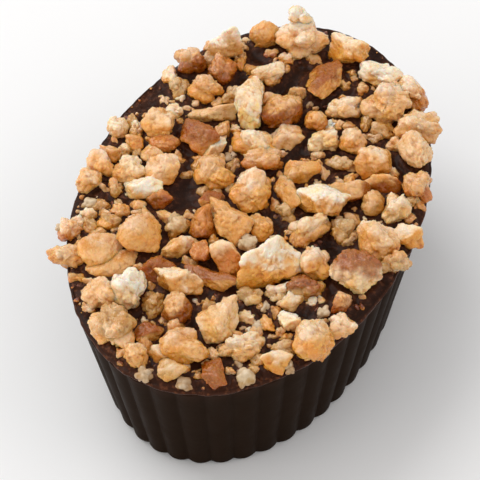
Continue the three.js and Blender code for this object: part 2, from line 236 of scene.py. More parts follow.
# %% From arrays to a piece
def make_piece(name, points, faces, node, slot, material, **attributes):
    """A mesh object at the origin from points in mm and a list of face arrays, each with its own
    count of corners. An attribute with three columns is a colour, one with one is a number."""
    mesh = bpy.data.meshes.new(name)
    corners = np.concatenate([part.ravel() for part in faces])
    counts = np.concatenate([np.full(len(part), part.shape[1]) for part in faces])
    mesh.vertices.add(len(points))
    mesh.vertices.foreach_set("co", (points * MM).astype(np.float32).ravel())
    mesh.loops.add(len(corners))
    mesh.loops.foreach_set("vertex_index", corners.astype(np.int32))
    mesh.polygons.add(len(counts))
    mesh.polygons.foreach_set("loop_start", (np.cumsum(counts) - counts).astype(np.int32))
    mesh.polygons.foreach_set("use_smooth", np.ones(len(counts), bool))
    mesh.update(calc_edges=True)
    for label, values in attributes.items():
        if values.ndim == 2:
            layer = mesh.attributes.new(label, "FLOAT_COLOR", "POINT")
            opaque = np.ones((len(values), 1))
            layer.data.foreach_set("color", np.hstack((values, opaque)).astype(np.float32).ravel())
        else:
            layer = mesh.attributes.new(label, "FLOAT", "POINT")
            layer.data.foreach_set("value", values.astype(np.float32))
    mesh.materials.append(material)
    piece = bpy.data.objects.new(name, mesh)
    bpy.context.scene.collection.objects.link(piece)
    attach(piece, "root")
    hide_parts(node)
    print(f"{name}: {len(points)} points, {int((counts - 2).sum())} triangles")


def turned_faces(rows, count):
    """Faces of rows of points that run round an axis, count to a row, the first row lowest: a
    square between each two neighbours and the next row, and a fan to one more point at each
    end. Those two points follow the rows."""
    here = np.arange(rows * count).reshape(rows, count)
    beside = np.roll(here, -1, axis=1)
    squares = np.stack((here[:-1], beside[:-1], beside[1:], here[1:]), axis=-1).reshape(-1, 4)
    first, last = rows * count, rows * count + 1
    low = np.stack((np.full(count, first), beside[0], here[0]), axis=-1)
    high = np.stack((np.full(count, last), here[-1], beside[-1]), axis=-1)
    return [squares, np.concatenate((low, high))]


# %% [markdown]
# ## Materials
# Chocolate is nearly black, so almost all that we see of it is the shine. A satin wall needs a
# middling roughness that wanders a little from place to place, and the poured layer is smoother.
# The nuts are the opposite: light goes into them and comes out warmer, so they get subsurface
# scattering. Their colour is painted on the vertices, and the nodes add what is finer than a
# vertex. All patterns read Object coordinates, in metres, so a scale of 2000 is half a
# millimetre.


# %% Node helpers
def new_material(name):
    """A node material with its Principled shader, and a helper that adds a node and feeds it
    sockets or plain values. An input is given by name, or as i and its number where names
    repeat."""
    material = bpy.data.materials.new(name)
    material.use_nodes = True
    tree = material.node_tree
    shader = tree.nodes["Principled BSDF"]

    def add(kind, settings=None, **inputs):
        made = tree.nodes.new(kind)
        for key, value in (settings or {}).items():
            setattr(made, key, value)
        for key, value in inputs.items():
            socket = made.inputs[int(key[1:]) if key[0] == "i" and key[1:].isdigit() else key]
            if isinstance(value, bpy.types.NodeSocket):
                tree.links.new(value, socket)
            else:
                socket.default_value = value
        return made

    coordinates = add("ShaderNodeTexCoord").outputs["Object"]
    return material, tree, shader, add, coordinates


def noise_value(add, coordinates, scale, detail=2.0, roughness=0.5):
    """The grey value of a noise pattern, about 0.5 on average."""
    settings = {"Vector": coordinates, "Scale": scale, "Detail": detail, "Roughness": roughness}
    return add("ShaderNodeTexNoise", **settings).outputs["Fac"]


def painted(add, name):
    """The number that the vertices carry under this name."""
    return add("ShaderNodeAttribute", {"attribute_name": name}).outputs["Fac"]


def painted_tone(add):
    """The colour that the vertices carry."""
    return add("ShaderNodeAttribute", {"attribute_name": "tone"}).outputs["Color"]


def ramp(add, value, low, high, out_low=0.0, out_high=1.0):
    """value brought from the range low to high into the range out_low to out_high."""
    made = add("ShaderNodeMapRange", i0=value, i1=low, i2=high, i3=out_low, i4=out_high)
    return made.outputs[0]


def reckoned(add, operation, first, second, third=0.0):
    """Two numbers brought together by an operation, which may take a third one."""
    made = add("ShaderNodeMath", {"operation": operation}, i0=first, i1=second, i2=third)
    return made.outputs[0]


def blend(add, kind, share, first, second):
    """Two colours mixed by share, in the given blend mode."""
    settings = {"data_type": "RGBA", "blend_type": kind}
    return add("ShaderNodeMix", settings, i0=share, i6=first, i7=second).outputs[2]


def bump(add, tree, shader, height, strength, distance):
    """Shades the surface as if it rose by height times distance, in metres."""
    bent = add("ShaderNodeBump", Height=height, Strength=strength, Distance=distance)
    tree.links.new(bent.outputs["Normal"], shader.inputs["Normal"])


def linear(red, green, blue):
    """A colour read from a screen, 0 to 255, as the linear light that shaders work in."""
    value = np.array((red, green, blue)) / 255
    return tuple(np.where(value <= 0.04045, value / 12.92, ((value + 0.055) / 1.055) ** 2.4))


# %% Chocolate of the cup and of the layer
CLOUD_SCALE = 260.0
CLOUD_SHARE = 0.5
SHINE_SCALE = 700.0
SKIN_SCALE = 2400.0
SKIN_DEPTH = 0.04
DUST_SCALE = 3000.0
DUST_TONE = linear(112, 66, 42)


def chocolate(name, dark, warm, smooth, rough, gloss, relief, dust=0.0):
    """Chocolate that wanders between a dark and a warmer tone, with an uneven shine. The warm
    tone shows where the attribute rim is high, and dust says how much ground nut lies there in
    specks. On the layer the rim value is also high round each nut, where the warm tone is partly
    nut dust and partly painted warm light thrown by the nuts."""
    material, tree, shader, add, place = new_material(name)
    cloud = noise_value(add, place, CLOUD_SCALE, 3.0)
    # The warm share: warmer chocolate at the cup's top and at the layer's lip and crumbly patches,
    # and round each nut partly nut dust, partly painted warm light from the nuts.
    warmth_and_nut_glow = painted(add, "rim")
    share = ramp(add, reckoned(add, "MULTIPLY_ADD", cloud, CLOUD_SHARE, warmth_and_nut_glow), 0.2, 1.3)
    tone = blend(add, "MIX", share, (*dark, 1), (*warm, 1))
    specks = noise_value(add, place, DUST_SCALE, 3.0, 0.6)
    lying = reckoned(add, "MULTIPLY", ramp(add, specks, 0.52, 0.62, 0.0, dust), warmth_and_nut_glow)
    dusted = blend(add, "MIX", lying, tone, (*DUST_TONE, 1))
    tree.links.new(dusted, shader.inputs["Base Color"])
    shine = noise_value(add, place, SHINE_SCALE, 4.0, 0.6)
    tree.links.new(ramp(add, shine, 0.3, 0.7, smooth, rough), shader.inputs["Roughness"])
    bump(add, tree, shader, noise_value(add, place, SKIN_SCALE, 3.0), relief, SKIN_DEPTH * MM)
    shader.inputs["Specular IOR Level"].default_value = gloss
    return material


cup_tones = linear(35, 23, 14), linear(46, 30, 21)
layer_tones = linear(28, 16, 10), linear(74, 41, 27)
cup_chocolate = chocolate(
    "cup_chocolate", *cup_tones, smooth=0.34, rough=0.46, gloss=0.008, relief=0.2
)
layer_chocolate = chocolate(
    "layer_chocolate", *layer_tones, smooth=0.2, rough=0.36, gloss=0.07, relief=0.7, dust=1.0
)


# %% Nuts
PATCH_SCALE = 750.0
PORE_SCALE = 5200.0
CRUST_SCALE = 900.0
TOASTED_TINT = (0.98, 0.8, 0.45, 1)
PORE_TINT = (0.88, 0.75, 0.5, 1)
# Painted shade in the creases and hollows.
CREVICE_SHADE_TINT = (0.81, 0.61, 0.34, 1)
# A crust of sugar that is partly a painted highlight on the lit side.
SUGAR_CRUST_AND_HIGHLIGHT = (0.93, 0.79, 0.63, 1)
PORE_SHARE = 0.3
GLOW_RADIUS = (1.0, 0.65, 0.4)
GLOW_DEPTH = 0.32
NUT_SHINE = 0.4
CARAMEL_ROUGHNESS = 0.16


def nut_skin(name, grain, relief, glow, rough, gloss):
    """A nut or a sugared cluster: the painted tone, broken up by toasted patches, pores, painted
    shade in its hollows and a crust of sugar that is partly a painted highlight on the lit side.
    grain is the size of its bumps in mm, relief how strong they are, glow how much light comes
    back from inside, and gloss a thin clear coat of caramel."""
    material, tree, shader, add, place = new_material(name)
    frost = painted(add, "frost")
    patch = noise_value(add, place, PATCH_SCALE, 4.0, 0.6)
    bare = reckoned(add, "SUBTRACT", 1.0, frost)
    patches = reckoned(add, "MULTIPLY", ramp(add, patch, 0.44, 0.6), bare)
    toasted = blend(add, "MULTIPLY", patches, painted_tone(add), TOASTED_TINT)
    pores = noise_value(add, place, PORE_SCALE, 3.0, 0.7)
    porous = ramp(add, pores, 0.5, 0.7, 0.0, PORE_SHARE)
    pored = blend(add, "MULTIPLY", porous, toasted, PORE_TINT)
    # Painted shade in the creases and hollows.
    crevice_shaded = blend(add, "MULTIPLY", painted(add, "hollow"), pored, CREVICE_SHADE_TINT)
    crust = noise_value(add, place, CRUST_SCALE, 5.0, 0.65)
    # The sugar crust lies where the frost is, on the lit side, so it is partly a painted highlight.
    crust_and_highlight = reckoned(add, "MULTIPLY", ramp(add, crust, 0.46, 0.56), frost)
    sugared = blend(add, "MIX", crust_and_highlight, crevice_shaded, SUGAR_CRUST_AND_HIGHLIGHT)
    tree.links.new(sugared, shader.inputs["Base Color"])
    tree.links.new(ramp(add, pores, 0.35, 0.7, rough, 0.5 * rough), shader.inputs["Roughness"])
    settings = {"Vector": place, "Scale": 1 / (grain * MM), "Smoothness": 0.3}
    cells = add("ShaderNodeTexVoronoi", {"feature": "SMOOTH_F1"}, **settings)
    height = reckoned(add, "MULTIPLY_ADD", cells.outputs["Distance"], -1.0, pores)
    bump(add, tree, shader, height, relief, 0.5 * grain * MM)
    shader.inputs["Subsurface Weight"].default_value = glow
    shader.inputs["Subsurface Radius"].default_value = GLOW_RADIUS
    shader.inputs["Subsurface Scale"].default_value = GLOW_DEPTH * MM
    shader.inputs["Specular IOR Level"].default_value = NUT_SHINE
    shader.inputs["Coat Weight"].default_value = gloss
    shader.inputs["Coat Roughness"].default_value = CARAMEL_ROUGHNESS
    return material


chip_skin = nut_skin("chopped_nut", grain=0.2, relief=0.5, glow=0.85, rough=0.34, gloss=0.3)
round_skin = nut_skin("nut_in_caramel", grain=0.22, relief=0.6, glow=0.9, rough=0.3, gloss=0.6)
cluster_skin = nut_skin("sugared_cluster", grain=0.22, relief=0.7, glow=0.9, rough=0.3, gloss=0.8)


# %% Sugar
MILK_SCALE = 1800.0
MILK_SHARE = 0.5
MILK_TONE = (0.85, 0.72, 0.54, 1)
FLAW_SCALE = 5000.0
FLAW_RELIEF = 0.4
FLAW_DEPTH = 0.06
SUGAR_ROUGHNESS = 0.22
SUGAR_CLEARNESS = 0.2
SUGAR_IOR = 1.45


def sugar_skin(name):
    """Clear to milky sugar: some light passes through, and the rest is scattered by flaws."""
    material, tree, shader, add, place = new_material(name)
    milk = ramp(add, noise_value(add, place, MILK_SCALE, 3.0), 0.4, 0.7, 0.0, MILK_SHARE)
    milky = blend(add, "MIX", milk, painted_tone(add), MILK_TONE)
    tree.links.new(milky, shader.inputs["Base Color"])
    flaws = noise_value(add, place, FLAW_SCALE, 3.0)
    bump(add, tree, shader, flaws, FLAW_RELIEF, FLAW_DEPTH * MM)
    shader.inputs["Roughness"].default_value = SUGAR_ROUGHNESS
    shader.inputs["Transmission Weight"].default_value = SUGAR_CLEARNESS
    shader.inputs["IOR"].default_value = SUGAR_IOR
    return material


lump_sugar = sugar_skin("sugar_lump")
print("materials:", [material.name for material in bpy.data.materials])

# %% [markdown]
# ## The fluted cup
# The cup was cast in a mould with upright flutes: broad rounded ribs that meet in narrow
# grooves. The wall leans out a little so that the piece drops out of the mould. One could model
# a rib and repeat it round the oval, but an oval bends more at its ends, and the ribs would
# stretch there. So we measure the length along the rim first and let the ribs follow it, and
# the whole wall is then one grid: round the oval one way, up its profile the other way.


# %% Round the oval and up the wall
FLUTE_COUNT = 46
FLUTE_DEPTH = 0.34
FLUTE_ROUNDNESS = 0.7
FLUTE_PHASE = 1 / 3
STEPS_PER_FLUTE = 22
GROOVE_WIDTH = 0.09
BASE_EDGE = 0.35
BASE_EDGE_STEPS = 7
WALL_FROM = 0.6
WALL_STEPS = 36
CUP_TOP = BODY_HEIGHT - 0.25
RIM_THICKNESS = 0.6
FOOT_RINGS = (0.25, 0.5, 0.75, 0.9, 0.97)
INSIDE_RINGS = (0.8, 0.4)
FINE_STEPS = 7200


def even_angles(count):
    """Angles of the rim's oval that part it into equal lengths, and each one's share of the
    whole: the running sum of the curve's speed is turned round by interpolation."""
    fine = np.linspace(0, 2 * np.pi, FINE_STEPS + 1)
    middle = (fine[1:] + fine[:-1]) / 2
    speed = np.hypot(HALF_LENGTH * np.sin(middle), HALF_WIDTH * np.cos(middle))
    length = np.concatenate(([0], np.cumsum(speed)))
    share = np.arange(count) / count
    return np.interp(share * length[-1], length, fine), share


def oval_rows(angles, heights, offsets):
    """Rows of points, one for each height: the oval of that height, which narrows linearly
    towards the base, moved along its own outward normal by the offsets."""
    inset = BASE_INSET * (1 - heights / BODY_HEIGHT)
    half_length = (HALF_LENGTH - inset)[:, None]
    half_width = (HALF_WIDTH - inset)[:, None]
    cosine, sine = np.cos(angles)[None], np.sin(angles)[None]
    across_x, across_y = cosine / half_length, sine / half_width
    norm = np.hypot(across_x, across_y)
    x = half_length * cosine + offsets * across_x / norm
    y = half_width * sine + offsets * across_y / norm
    return np.stack((x, y, np.broadcast_to(heights[:, None], x.shape)), axis=-1)


def closed_by_flats(rows, low_shares, high_shares):
    """The rows with a flat added at each end: smaller copies of the first and last row, shrunk
    towards the axis by the given shares, and a point on the axis at either end."""
    low = rows[0][None] * np.stack([[s, s, 1] for s in low_shares])[:, None]
    high = rows[-1][None] * np.stack([[s, s, 1] for s in high_shares])[:, None]
    rows = np.concatenate((low, rows, high))
    ends = np.array([[0, 0, rows[0, 0, 2]], [0, 0, rows[-1, 0, 2]]])
    return np.concatenate((rows.reshape(-1, 3), ends)), turned_faces(len(rows), rows.shape[1])


cup_angles, cup_share = even_angles(FLUTE_COUNT * STEPS_PER_FLUTE)
bend = np.linspace(0, np.pi / 2, BASE_EDGE_STEPS)
inside_rim = (CUP_TOP, LAYER_BOTTOM)
wall_heights = np.concatenate(
    (BASE_EDGE * (1 - np.cos(bend)), np.linspace(WALL_FROM, CUP_TOP, WALL_STEPS), inside_rim)
)
edge_offsets = np.concatenate(
    (BASE_EDGE * (np.sin(bend) - 1), np.zeros(WALL_STEPS), np.full(2, -RIM_THICKNESS))
)
rib = np.abs(np.sin(np.pi * (FLUTE_COUNT * cup_share + FLUTE_PHASE)))
rib = np.sqrt((rib**2 + GROOVE_WIDTH**2) / (1 + GROOVE_WIDTH**2))
groove = FLUTE_DEPTH * (rib**FLUTE_ROUNDNESS - 1)
fluted = (edge_offsets > -RIM_THICKNESS)[:, None]
cup_rows = oval_rows(cup_angles, wall_heights, edge_offsets[:, None] + fluted * groove[None])
cup_points, cup_faces = closed_by_flats(cup_rows, FOOT_RINGS, INSIDE_RINGS)
print("groove depth in mm:", round(float(-groove.min()), 3), "rows:", len(wall_heights))

# %% [markdown]
# A cast wall isn't perfect. It swells and sinks by a few hundredths of a millimetre, and that
# is what breaks the long reflections on the ribs. We move each point sideways by soft noise,
# stretched along the height because the flutes guide the chocolate that way.

# %% Unevenness of the cast wall
WALL_DRIFT = 0.035
DRIFT_CELLS = (2.6, 0.9)
DRIFT_SQUEEZE = (1.0, 1.0, 0.35)
FIRM_FOOT = 1.5
WARM_RIM = 2.2
NEARLY_ZERO = 1e-6
drift = WALL_DRIFT * two_noises(cup_points * DRIFT_SQUEEZE, DRIFT_CELLS, 0.4, seed=3)
outward = cup_points * (1, 1, 0)
outward /= np.maximum(np.linalg.norm(outward, axis=1, keepdims=True), NEARLY_ZERO)
on_wall = smooth_step(0.0, FIRM_FOOT, cup_points[:, 2])
cup_points += outward * (drift * on_wall)[:, None]
cup_rim = smooth_step(BODY_HEIGHT - WARM_RIM, BODY_HEIGHT, cup_points[:, 2])
make_piece("cup", cup_points, cup_faces, "shell", "shell", cup_chocolate, rim=cup_rim)

# %% [markdown]
# ## Where the nuts lie
# The large nuts were placed on the photograph: where each one stands, how long, wide and
# high it is, how far its long side is turned, and the tone of its top and of its sides. There
# are four kinds. Chips are chopped and have flat cut faces, rounds are nearly whole, slices are
# thin, and clusters are knobbly lumps of nut and sugar. A few have two more numbers: how far
# they are lifted above the layer, because they lie on others, and how far they lean.

# %% Tones of nut and sugar
TONES = {
    "white": linear(255, 239, 222),
    "cream": linear(244, 213, 172),
    "pale": linear(232, 187, 130),
    "pink": linear(240, 196, 146),
    "tan": linear(222, 166, 92),
    "grey": linear(206, 168, 110),
    "khaki": linear(200, 156, 88),
    "gold": linear(230, 170, 82),
    "orange": linear(208, 139, 60),
    "brown": linear(166, 97, 22),
    "sugar": linear(232, 202, 156),
    "clear": linear(204, 166, 118),
    "cocoa": linear(124, 70, 48),
}

# %% The large nuts: x, y, length, width, height, turn, top, side (, lift, lean)
# The top tone goes mostly on faces that look towards the key lamp and the side tone on the rest, so
# each pair is partly painted light and shade.
CHIPS = [
    (-6.3, -4.1, 5.9, 3.3, 3.6, 145, "white", "gold", 0.1, 1),
    (13.1, 7.4, 2.9, 1.8, 4.0, 112, "white", "pale"),
    (8.2, 3.4, 3.8, 2.6, 3.4, 6, "cream", "white"),
    (16.6, -1.8, 3.2, 2.2, 2.6, 85, "cream", "gold"),
    (13.1, -0.8, 4.9, 3.0, 1.9, -12, "brown", "tan"),
    (6.6, -0.3, 3.1, 2.1, 1.7, -38, "pink", "pink"),
    (1.4, -2.6, 3.6, 1.9, 2.0, 48, "tan", "tan"),
    (3.7, -2.8, 2.9, 2.1, 1.9, -38, "tan", "gold"),
    (1.1, -5.4, 3.9, 2.8, 2.8, 93, "white", "tan"),
    (-6.3, -0.4, 3.6, 2.4, 2.4, 56, "cream", "orange"),
    (-8.5, -0.2, 4.6, 1.9, 1.8, 78, "brown", "tan"),
    (-10.0, 1.8, 4.0, 2.3, 2.2, 93, "cream", "tan"),
    (-2.4, 8.0, 2.9, 1.8, 2.1, -62, "white", "cream"),
    (-0.4, 7.1, 3.3, 2.5, 2.3, -38, "pink", "tan"),
    (4.1, 9.5, 2.7, 2.4, 2.6, 10, "pale", "pale"),
    (6.7, 6.0, 4.0, 1.6, 1.7, 109, "pale", "grey"),
    (4.0, 6.1, 3.8, 2.6, 2.5, 64, "brown", "orange"),
    (3.4, 4.5, 3.3, 1.4, 1.7, -21, "cream", "pale"),
    (-12.3, -2.3, 3.7, 2.8, 2.6, 10, "pale", "cream"),
    (-13.9, -7.8, 2.6, 1.7, 1.9, -43, "cream", "gold"),
    (-7.0, -10.2, 1.8, 1.6, 1.8, 20, "pink", "brown"),
    (-3.0, 0.7, 4.2, 3.0, 2.4, 60, "tan", "pale"),
    (-9.3, 3.9, 3.2, 2.0, 1.8, -55, "brown", "brown"),
    (-16.8, -3.9, 2.6, 1.7, 1.7, 33, "brown", "brown"),
    (-17.7, -0.6, 2.3, 1.9, 1.8, 60, "grey", "grey"),
    (0.7, -12.8, 2.5, 1.7, 1.8, 100, "cream", "gold"),
    (3.0, -6.8, 3.6, 2.0, 2.0, 106, "tan", "brown"),
    (-4.2, 2.3, 2.7, 2.3, 2.3, 30, "orange", "brown"),
    (4.8, -9.1, 3.4, 1.3, 1.8, 98, "gold", "brown"),
    (-14.9, 2.2, 2.3, 1.6, 1.5, -55, "brown", "khaki"),
    (-8.2, -6.7, 2.2, 1.4, 1.5, -43, "cream", "pale"),
    (-1.4, 2.8, 2.2, 1.5, 1.6, -55, "brown", "pale"),
    (-10.2, -7.3, 2.1, 1.7, 1.8, 100, "white", "cream"),
    (-6.5, 1.5, 2.1, 1.6, 1.8, 0, "orange", "brown"),
]
CLUSTERS = [
    (16.3, 2.2, 4.4, 3.0, 3.0, 100, "pink", "pink"),
    (17.1, 2.7, 2.1, 1.7, 1.8, 100, "white", "cream", 2.1),
    (15.2, -5.0, 3.7, 2.1, 2.1, 93, "white", "cream"),
    (14.3, -8.0, 3.4, 2.2, 2.4, 64, "pink", "orange"),
    (12.2, -6.6, 3.9, 3.2, 3.0, 93, "pale", "pale"),
    (11.1, -9.7, 4.0, 2.4, 2.4, 106, "pale", "tan"),
    (11.0, 9.7, 2.9, 2.2, 2.3, 97, "tan", "brown"),
    (8.8, 7.5, 3.1, 2.3, 2.1, 106, "tan", "gold"),
    (11.0, 7.0, 2.6, 2.4, 2.4, 20, "orange", "brown"),
    (12.0, 3.4, 2.9, 2.0, 1.9, -55, "cream", "tan"),
    (-12.4, 4.9, 3.0, 2.8, 3.2, 30, "white", "cream"),
    (-13.1, 7.0, 2.9, 2.5, 2.6, 106, "pale", "pink"),
    (-15.7, 4.8, 3.9, 3.3, 2.6, 46, "khaki", "pink"),
    (-10.5, 11.0, 3.2, 1.6, 1.7, 106, "pale", "tan"),
    (-8.2, 11.7, 2.0, 1.8, 1.9, 20, "pink", "orange"),
    (0.9, 3.5, 3.2, 2.6, 2.3, 100, "tan", "gold"),
    (-4.5, -7.3, 2.8, 2.6, 2.4, 60, "pink", "gold"),
    (-9.3, -11.2, 2.2, 2.0, 1.9, 0, "pink", "tan"),
    (5.5, -11.8, 2.8, 2.4, 2.4, 46, "tan", "orange"),
    (2.9, -10.9, 2.5, 2.0, 2.2, 0, "cream", "cream"),
    (-2.2, -12.6, 2.6, 1.7, 1.8, -43, "tan", "grey"),
    (-1.5, -5.6, 3.8, 1.9, 1.9, -27, "cream", "tan"),
    (-13.7, -4.8, 3.7, 2.0, 1.9, -49, "cream", "pale"),
    (7.2, -3.2, 2.7, 1.9, 1.8, -55, "cream", "cream"),
    (5.0, 1.7, 3.9, 2.4, 2.2, 93, "cream", "gold"),
    (3.5, 0.6, 3.3, 2.0, 1.9, -62, "tan", "orange"),
    (0.1, 0.0, 3.9, 3.3, 2.6, -3, "pink", "gold"),
    (-15.3, -0.9, 3.7, 3.0, 2.4, 93, "tan", "gold"),
    (10.8, -3.5, 2.9, 1.9, 2.0, -60, "cream", "pale"),
    (-1.3, 9.7, 2.8, 2.1, 2.3, 100, "cream", "pale"),
    (-1.4, 12.1, 2.3, 1.9, 1.9, 60, "pink", "pink"),
    (-6.6, -7.2, 3.0, 2.2, 1.8, 112, "brown", "khaki"),
    (-0.4, -7.8, 2.2, 1.9, 1.5, 0, "grey", "khaki"),
    (-4.9, 4.2, 2.1, 1.8, 1.8, -12, "grey", "khaki"),
]
ROUNDS = [
    (8.7, 0.9, 3.7, 2.8, 2.6, -27, "tan", "brown"),
    (6.6, -7.7, 2.9, 2.8, 2.6, 0, "pink", "tan"),
    (-12.3, 0.9, 2.4, 2.3, 2.2, 0, "tan", "brown"),
    (-11.2, -9.6, 3.4, 3.1, 2.7, -3, "pale", "gold"),
    (-0.9, -10.8, 3.3, 3.1, 2.8, 46, "pale", "tan"),
    (8.5, -10.4, 3.0, 2.4, 2.6, 46, "pale", "pink"),
    (-4.4, -10.3, 3.9, 3.2, 2.9, 100, "brown", "cream"),
    (2.5, 8.3, 2.6, 1.6, 1.5, -55, "orange", "orange"),
    (-17.3, 2.2, 2.0, 1.7, 1.8, 20, "pale", "tan"),
    (15.8, 5.1, 2.6, 2.0, 2.2, -49, "gold", "tan"),
    (-3.2, 12.5, 2.3, 1.9, 1.9, -21, "pink", "pale"),
    (2.6, 12.4, 1.9, 1.7, 1.8, 0, "cream", "pale"),
    (7.9, -5.4, 2.6, 2.0, 2.0, 40, "pale", "tan"),
    (-2.4, -1.8, 2.3, 1.9, 1.8, 60, "tan", "gold"),
    (-6.6, 3.3, 3.1, 1.5, 1.6, -38, "pale", "tan"),
    (8.9, -1.9, 1.7, 1.6, 1.8, 0, "gold", "orange"),
    (-2.7, 6.6, 2.3, 1.6, 1.7, 100, "orange", "brown"),
    (2.6, -9.1, 2.2, 1.9, 1.9, 0, "tan", "khaki"),
]
SLICES = [
    (-6.9, 6.2, 3.9, 3.5, 1.3, -7, "tan", "tan", 0.7, 14),
    (-9.1, 8.8, 3.6, 2.7, 1.0, -21, "tan", "pink", 0.7, 12),
    (-9.8, 7.5, 4.2, 2.4, 0.8, -49, "tan", "pale", 0.2, 4),
]

# %% Small lumps, most of them of clouded sugar
LUMPS = [
    (14.5, 2.7, 1.5, 1.2, 1.2, -42, "pale", "gold"),
    (9.0, 5.2, 2.0, 1.6, 1.4, 0, "khaki", "khaki"),
    (8.3, 9.7, 2.1, 1.6, 1.5, 0, "grey", "khaki"),
    (12.9, 6.2, 2.0, 1.0, 1.2, 16, "tan", "gold"),
    (13.6, -4.1, 1.4, 1.1, 1.1, 7, "pale", "tan"),
    (9.4, -3.6, 1.4, 1.1, 1.0, -67, "tan", "gold"),
    (10.4, -5.6, 1.8, 1.0, 1.2, 16, "grey", "khaki"),
    (10.1, -7.2, 2.2, 1.5, 1.4, 89, "khaki", "khaki"),
    (9.0, -8.7, 1.7, 1.4, 1.4, -67, "gold", "tan"),
    (5.7, -5.4, 2.8, 1.5, 1.3, -85, "grey", "khaki"),
    (4.2, -11.7, 1.4, 1.1, 1.2, -67, "grey", "khaki"),
    (-0.3, -3.2, 1.9, 1.5, 1.4, 48, "grey", "khaki"),
    (-4.2, -1.4, 1.7, 1.5, 1.4, 16, "sugar", "sugar"),
    (2.6, 2.5, 1.5, 1.2, 1.0, 0, "khaki", "khaki"),
    (-7.9, -5.3, 1.8, 1.4, 1.5, -67, "cream", "sugar"),
    (-12.3, 2.9, 2.5, 1.8, 1.6, 16, "khaki", "khaki"),
    (-6.2, 11.2, 1.5, 1.2, 1.2, -40, "cream", "khaki"),
    (-5.0, 10.6, 1.4, 1.1, 1.0, -67, "khaki", "khaki"),
    (-10.8, -4.0, 1.8, 1.2, 1.1, -79, "cream", "pale"),
    (-18.4, 1.0, 1.6, 1.3, 1.2, -67, "clear", "clear"),
    (-18.1, -2.0, 1.5, 1.2, 1.0, -67, "clear", "clear"),
    (-16.0, -6.0, 1.7, 1.4, 1.2, 0, "sugar", "khaki"),
    (-12.5, -7.8, 2.0, 1.3, 1.3, -48, "grey", "khaki"),
    (-6.3, 9.3, 1.9, 1.4, 1.4, -67, "khaki", "gold"),
    (-4.9, 8.9, 1.7, 1.3, 1.3, -67, "gold", "tan"),
    (-3.9, 7.9, 1.5, 1.1, 1.1, -67, "gold", "gold"),
    (-3.1, 10.1, 1.6, 1.3, 1.5, 23, "tan", "khaki"),
    (-7.2, 11.6, 1.5, 1.2, 1.1, 0, "pink", "tan"),
    (3.0, 11.0, 1.8, 1.1, 1.3, 23, "cream", "khaki"),
    (5.9, 8.9, 1.5, 1.3, 1.4, 23, "cream", "pale"),
    (0.7, 11.1, 1.4, 1.3, 1.3, -20, "cream", "khaki"),
    (-9.0, -3.6, 1.9, 1.4, 1.4, -67, "khaki", "sugar"),
]
SPECKS = [
    (14.5, 4.1, 1.2, 0.9, 0.8, -67, "tan", "brown"),
    (13.2, 8.9, 1.2, 1.0, 1.0, -67, "pale", "gold"),
    (13.5, -2.7, 1.2, 1.0, 1.0, -67, "khaki", "khaki"),
    (10.6, -0.7, 0.9, 0.7, 0.6, 0, "clear", "clear"),
    (9.1, -3.1, 1.0, 0.8, 0.9, -67, "white", "cream"),
    (9.2, -6.7, 1.5, 1.2, 1.0, -67, "khaki", "khaki"),
    (5.9, -3.2, 1.3, 1.0, 1.0, -15, "pale", "tan"),
    (-1.2, -8.6, 1.2, 1.0, 0.9, -30, "khaki", "khaki"),
    (5.5, -11.1, 1.2, 0.6, 0.6, 77, "clear", "clear"),
    (4.2, -12.3, 1.1, 1.0, 0.9, -67, "tan", "tan"),
    (-1.9, -4.0, 1.1, 0.8, 0.8, -30, "pale", "tan"),
    (3.3, 3.1, 1.0, 0.8, 0.7, -67, "clear", "clear"),
    (-15.8, 1.5, 1.2, 0.7, 0.6, 77, "sugar", "sugar"),
    (-8.4, 11.0, 0.9, 0.7, 0.6, -67, "pale", "tan"),
    (-14.3, 7.3, 1.2, 0.9, 1.0, -67, "pale", "tan"),
    (-9.2, -2.9, 0.8, 0.6, 0.5, -15, "orange", "brown"),
    (-11.2, -5.1, 1.2, 1.0, 0.9, 0, "sugar", "sugar"),
    (-16.7, -2.5, 1.0, 0.5, 0.5, -48, "pale", "pale"),
    (-14.9, -5.1, 1.0, 0.7, 0.6, 67, "clear", "clear"),
    (-9.2, -4.9, 1.2, 0.6, 0.6, 0, "sugar", "sugar"),
    (-11.1, -6.9, 1.0, 0.8, 0.8, 0, "pale", "tan"),
    (-8.2, -9.3, 1.3, 0.9, 0.9, -10, "sugar", "khaki"),
    (-7.4, -10.2, 0.9, 0.6, 0.5, -15, "clear", "clear"),
    (-13.8, -8.7, 1.2, 1.0, 0.9, 0, "sugar", "khaki"),
    (-8.1, 12.4, 1.1, 0.9, 0.8, -67, "sugar", "sugar"),
    (2.7, -11.5, 1.0, 0.8, 0.7, -67, "khaki", "khaki"),
    (-5.1, 11.5, 1.2, 1.0, 1.0, -67, "sugar", "khaki"),
    (0.9, 10.0, 1.2, 0.9, 1.0, 23, "khaki", "khaki"),
    (4.6, 11.8, 0.6, 0.5, 0.5, 0, "pink", "tan"),
    (7.0, 10.6, 0.7, 0.4, 0.4, -67, "pale", "tan"),
    (-7.8, 10.1, 0.9, 0.6, 0.6, 0, "khaki", "khaki"),
]
LARGE = CHIPS + CLUSTERS + ROUNDS + SLICES + LUMPS
print("nuts and lumps placed by eye:", len(LARGE), "specks:", len(SPECKS))

# %% [markdown]
# Between the large nuts the layer is strewn with smaller pieces. Nobody places those one by
# one: we walk along a spiral of evenly spread spots, as the seeds of a sunflower stand, and
# drop a piece of drawn size wherever no nut lies yet. Here and there the photograph shows the
# bare layer, and those spots are kept free as if something lay there.

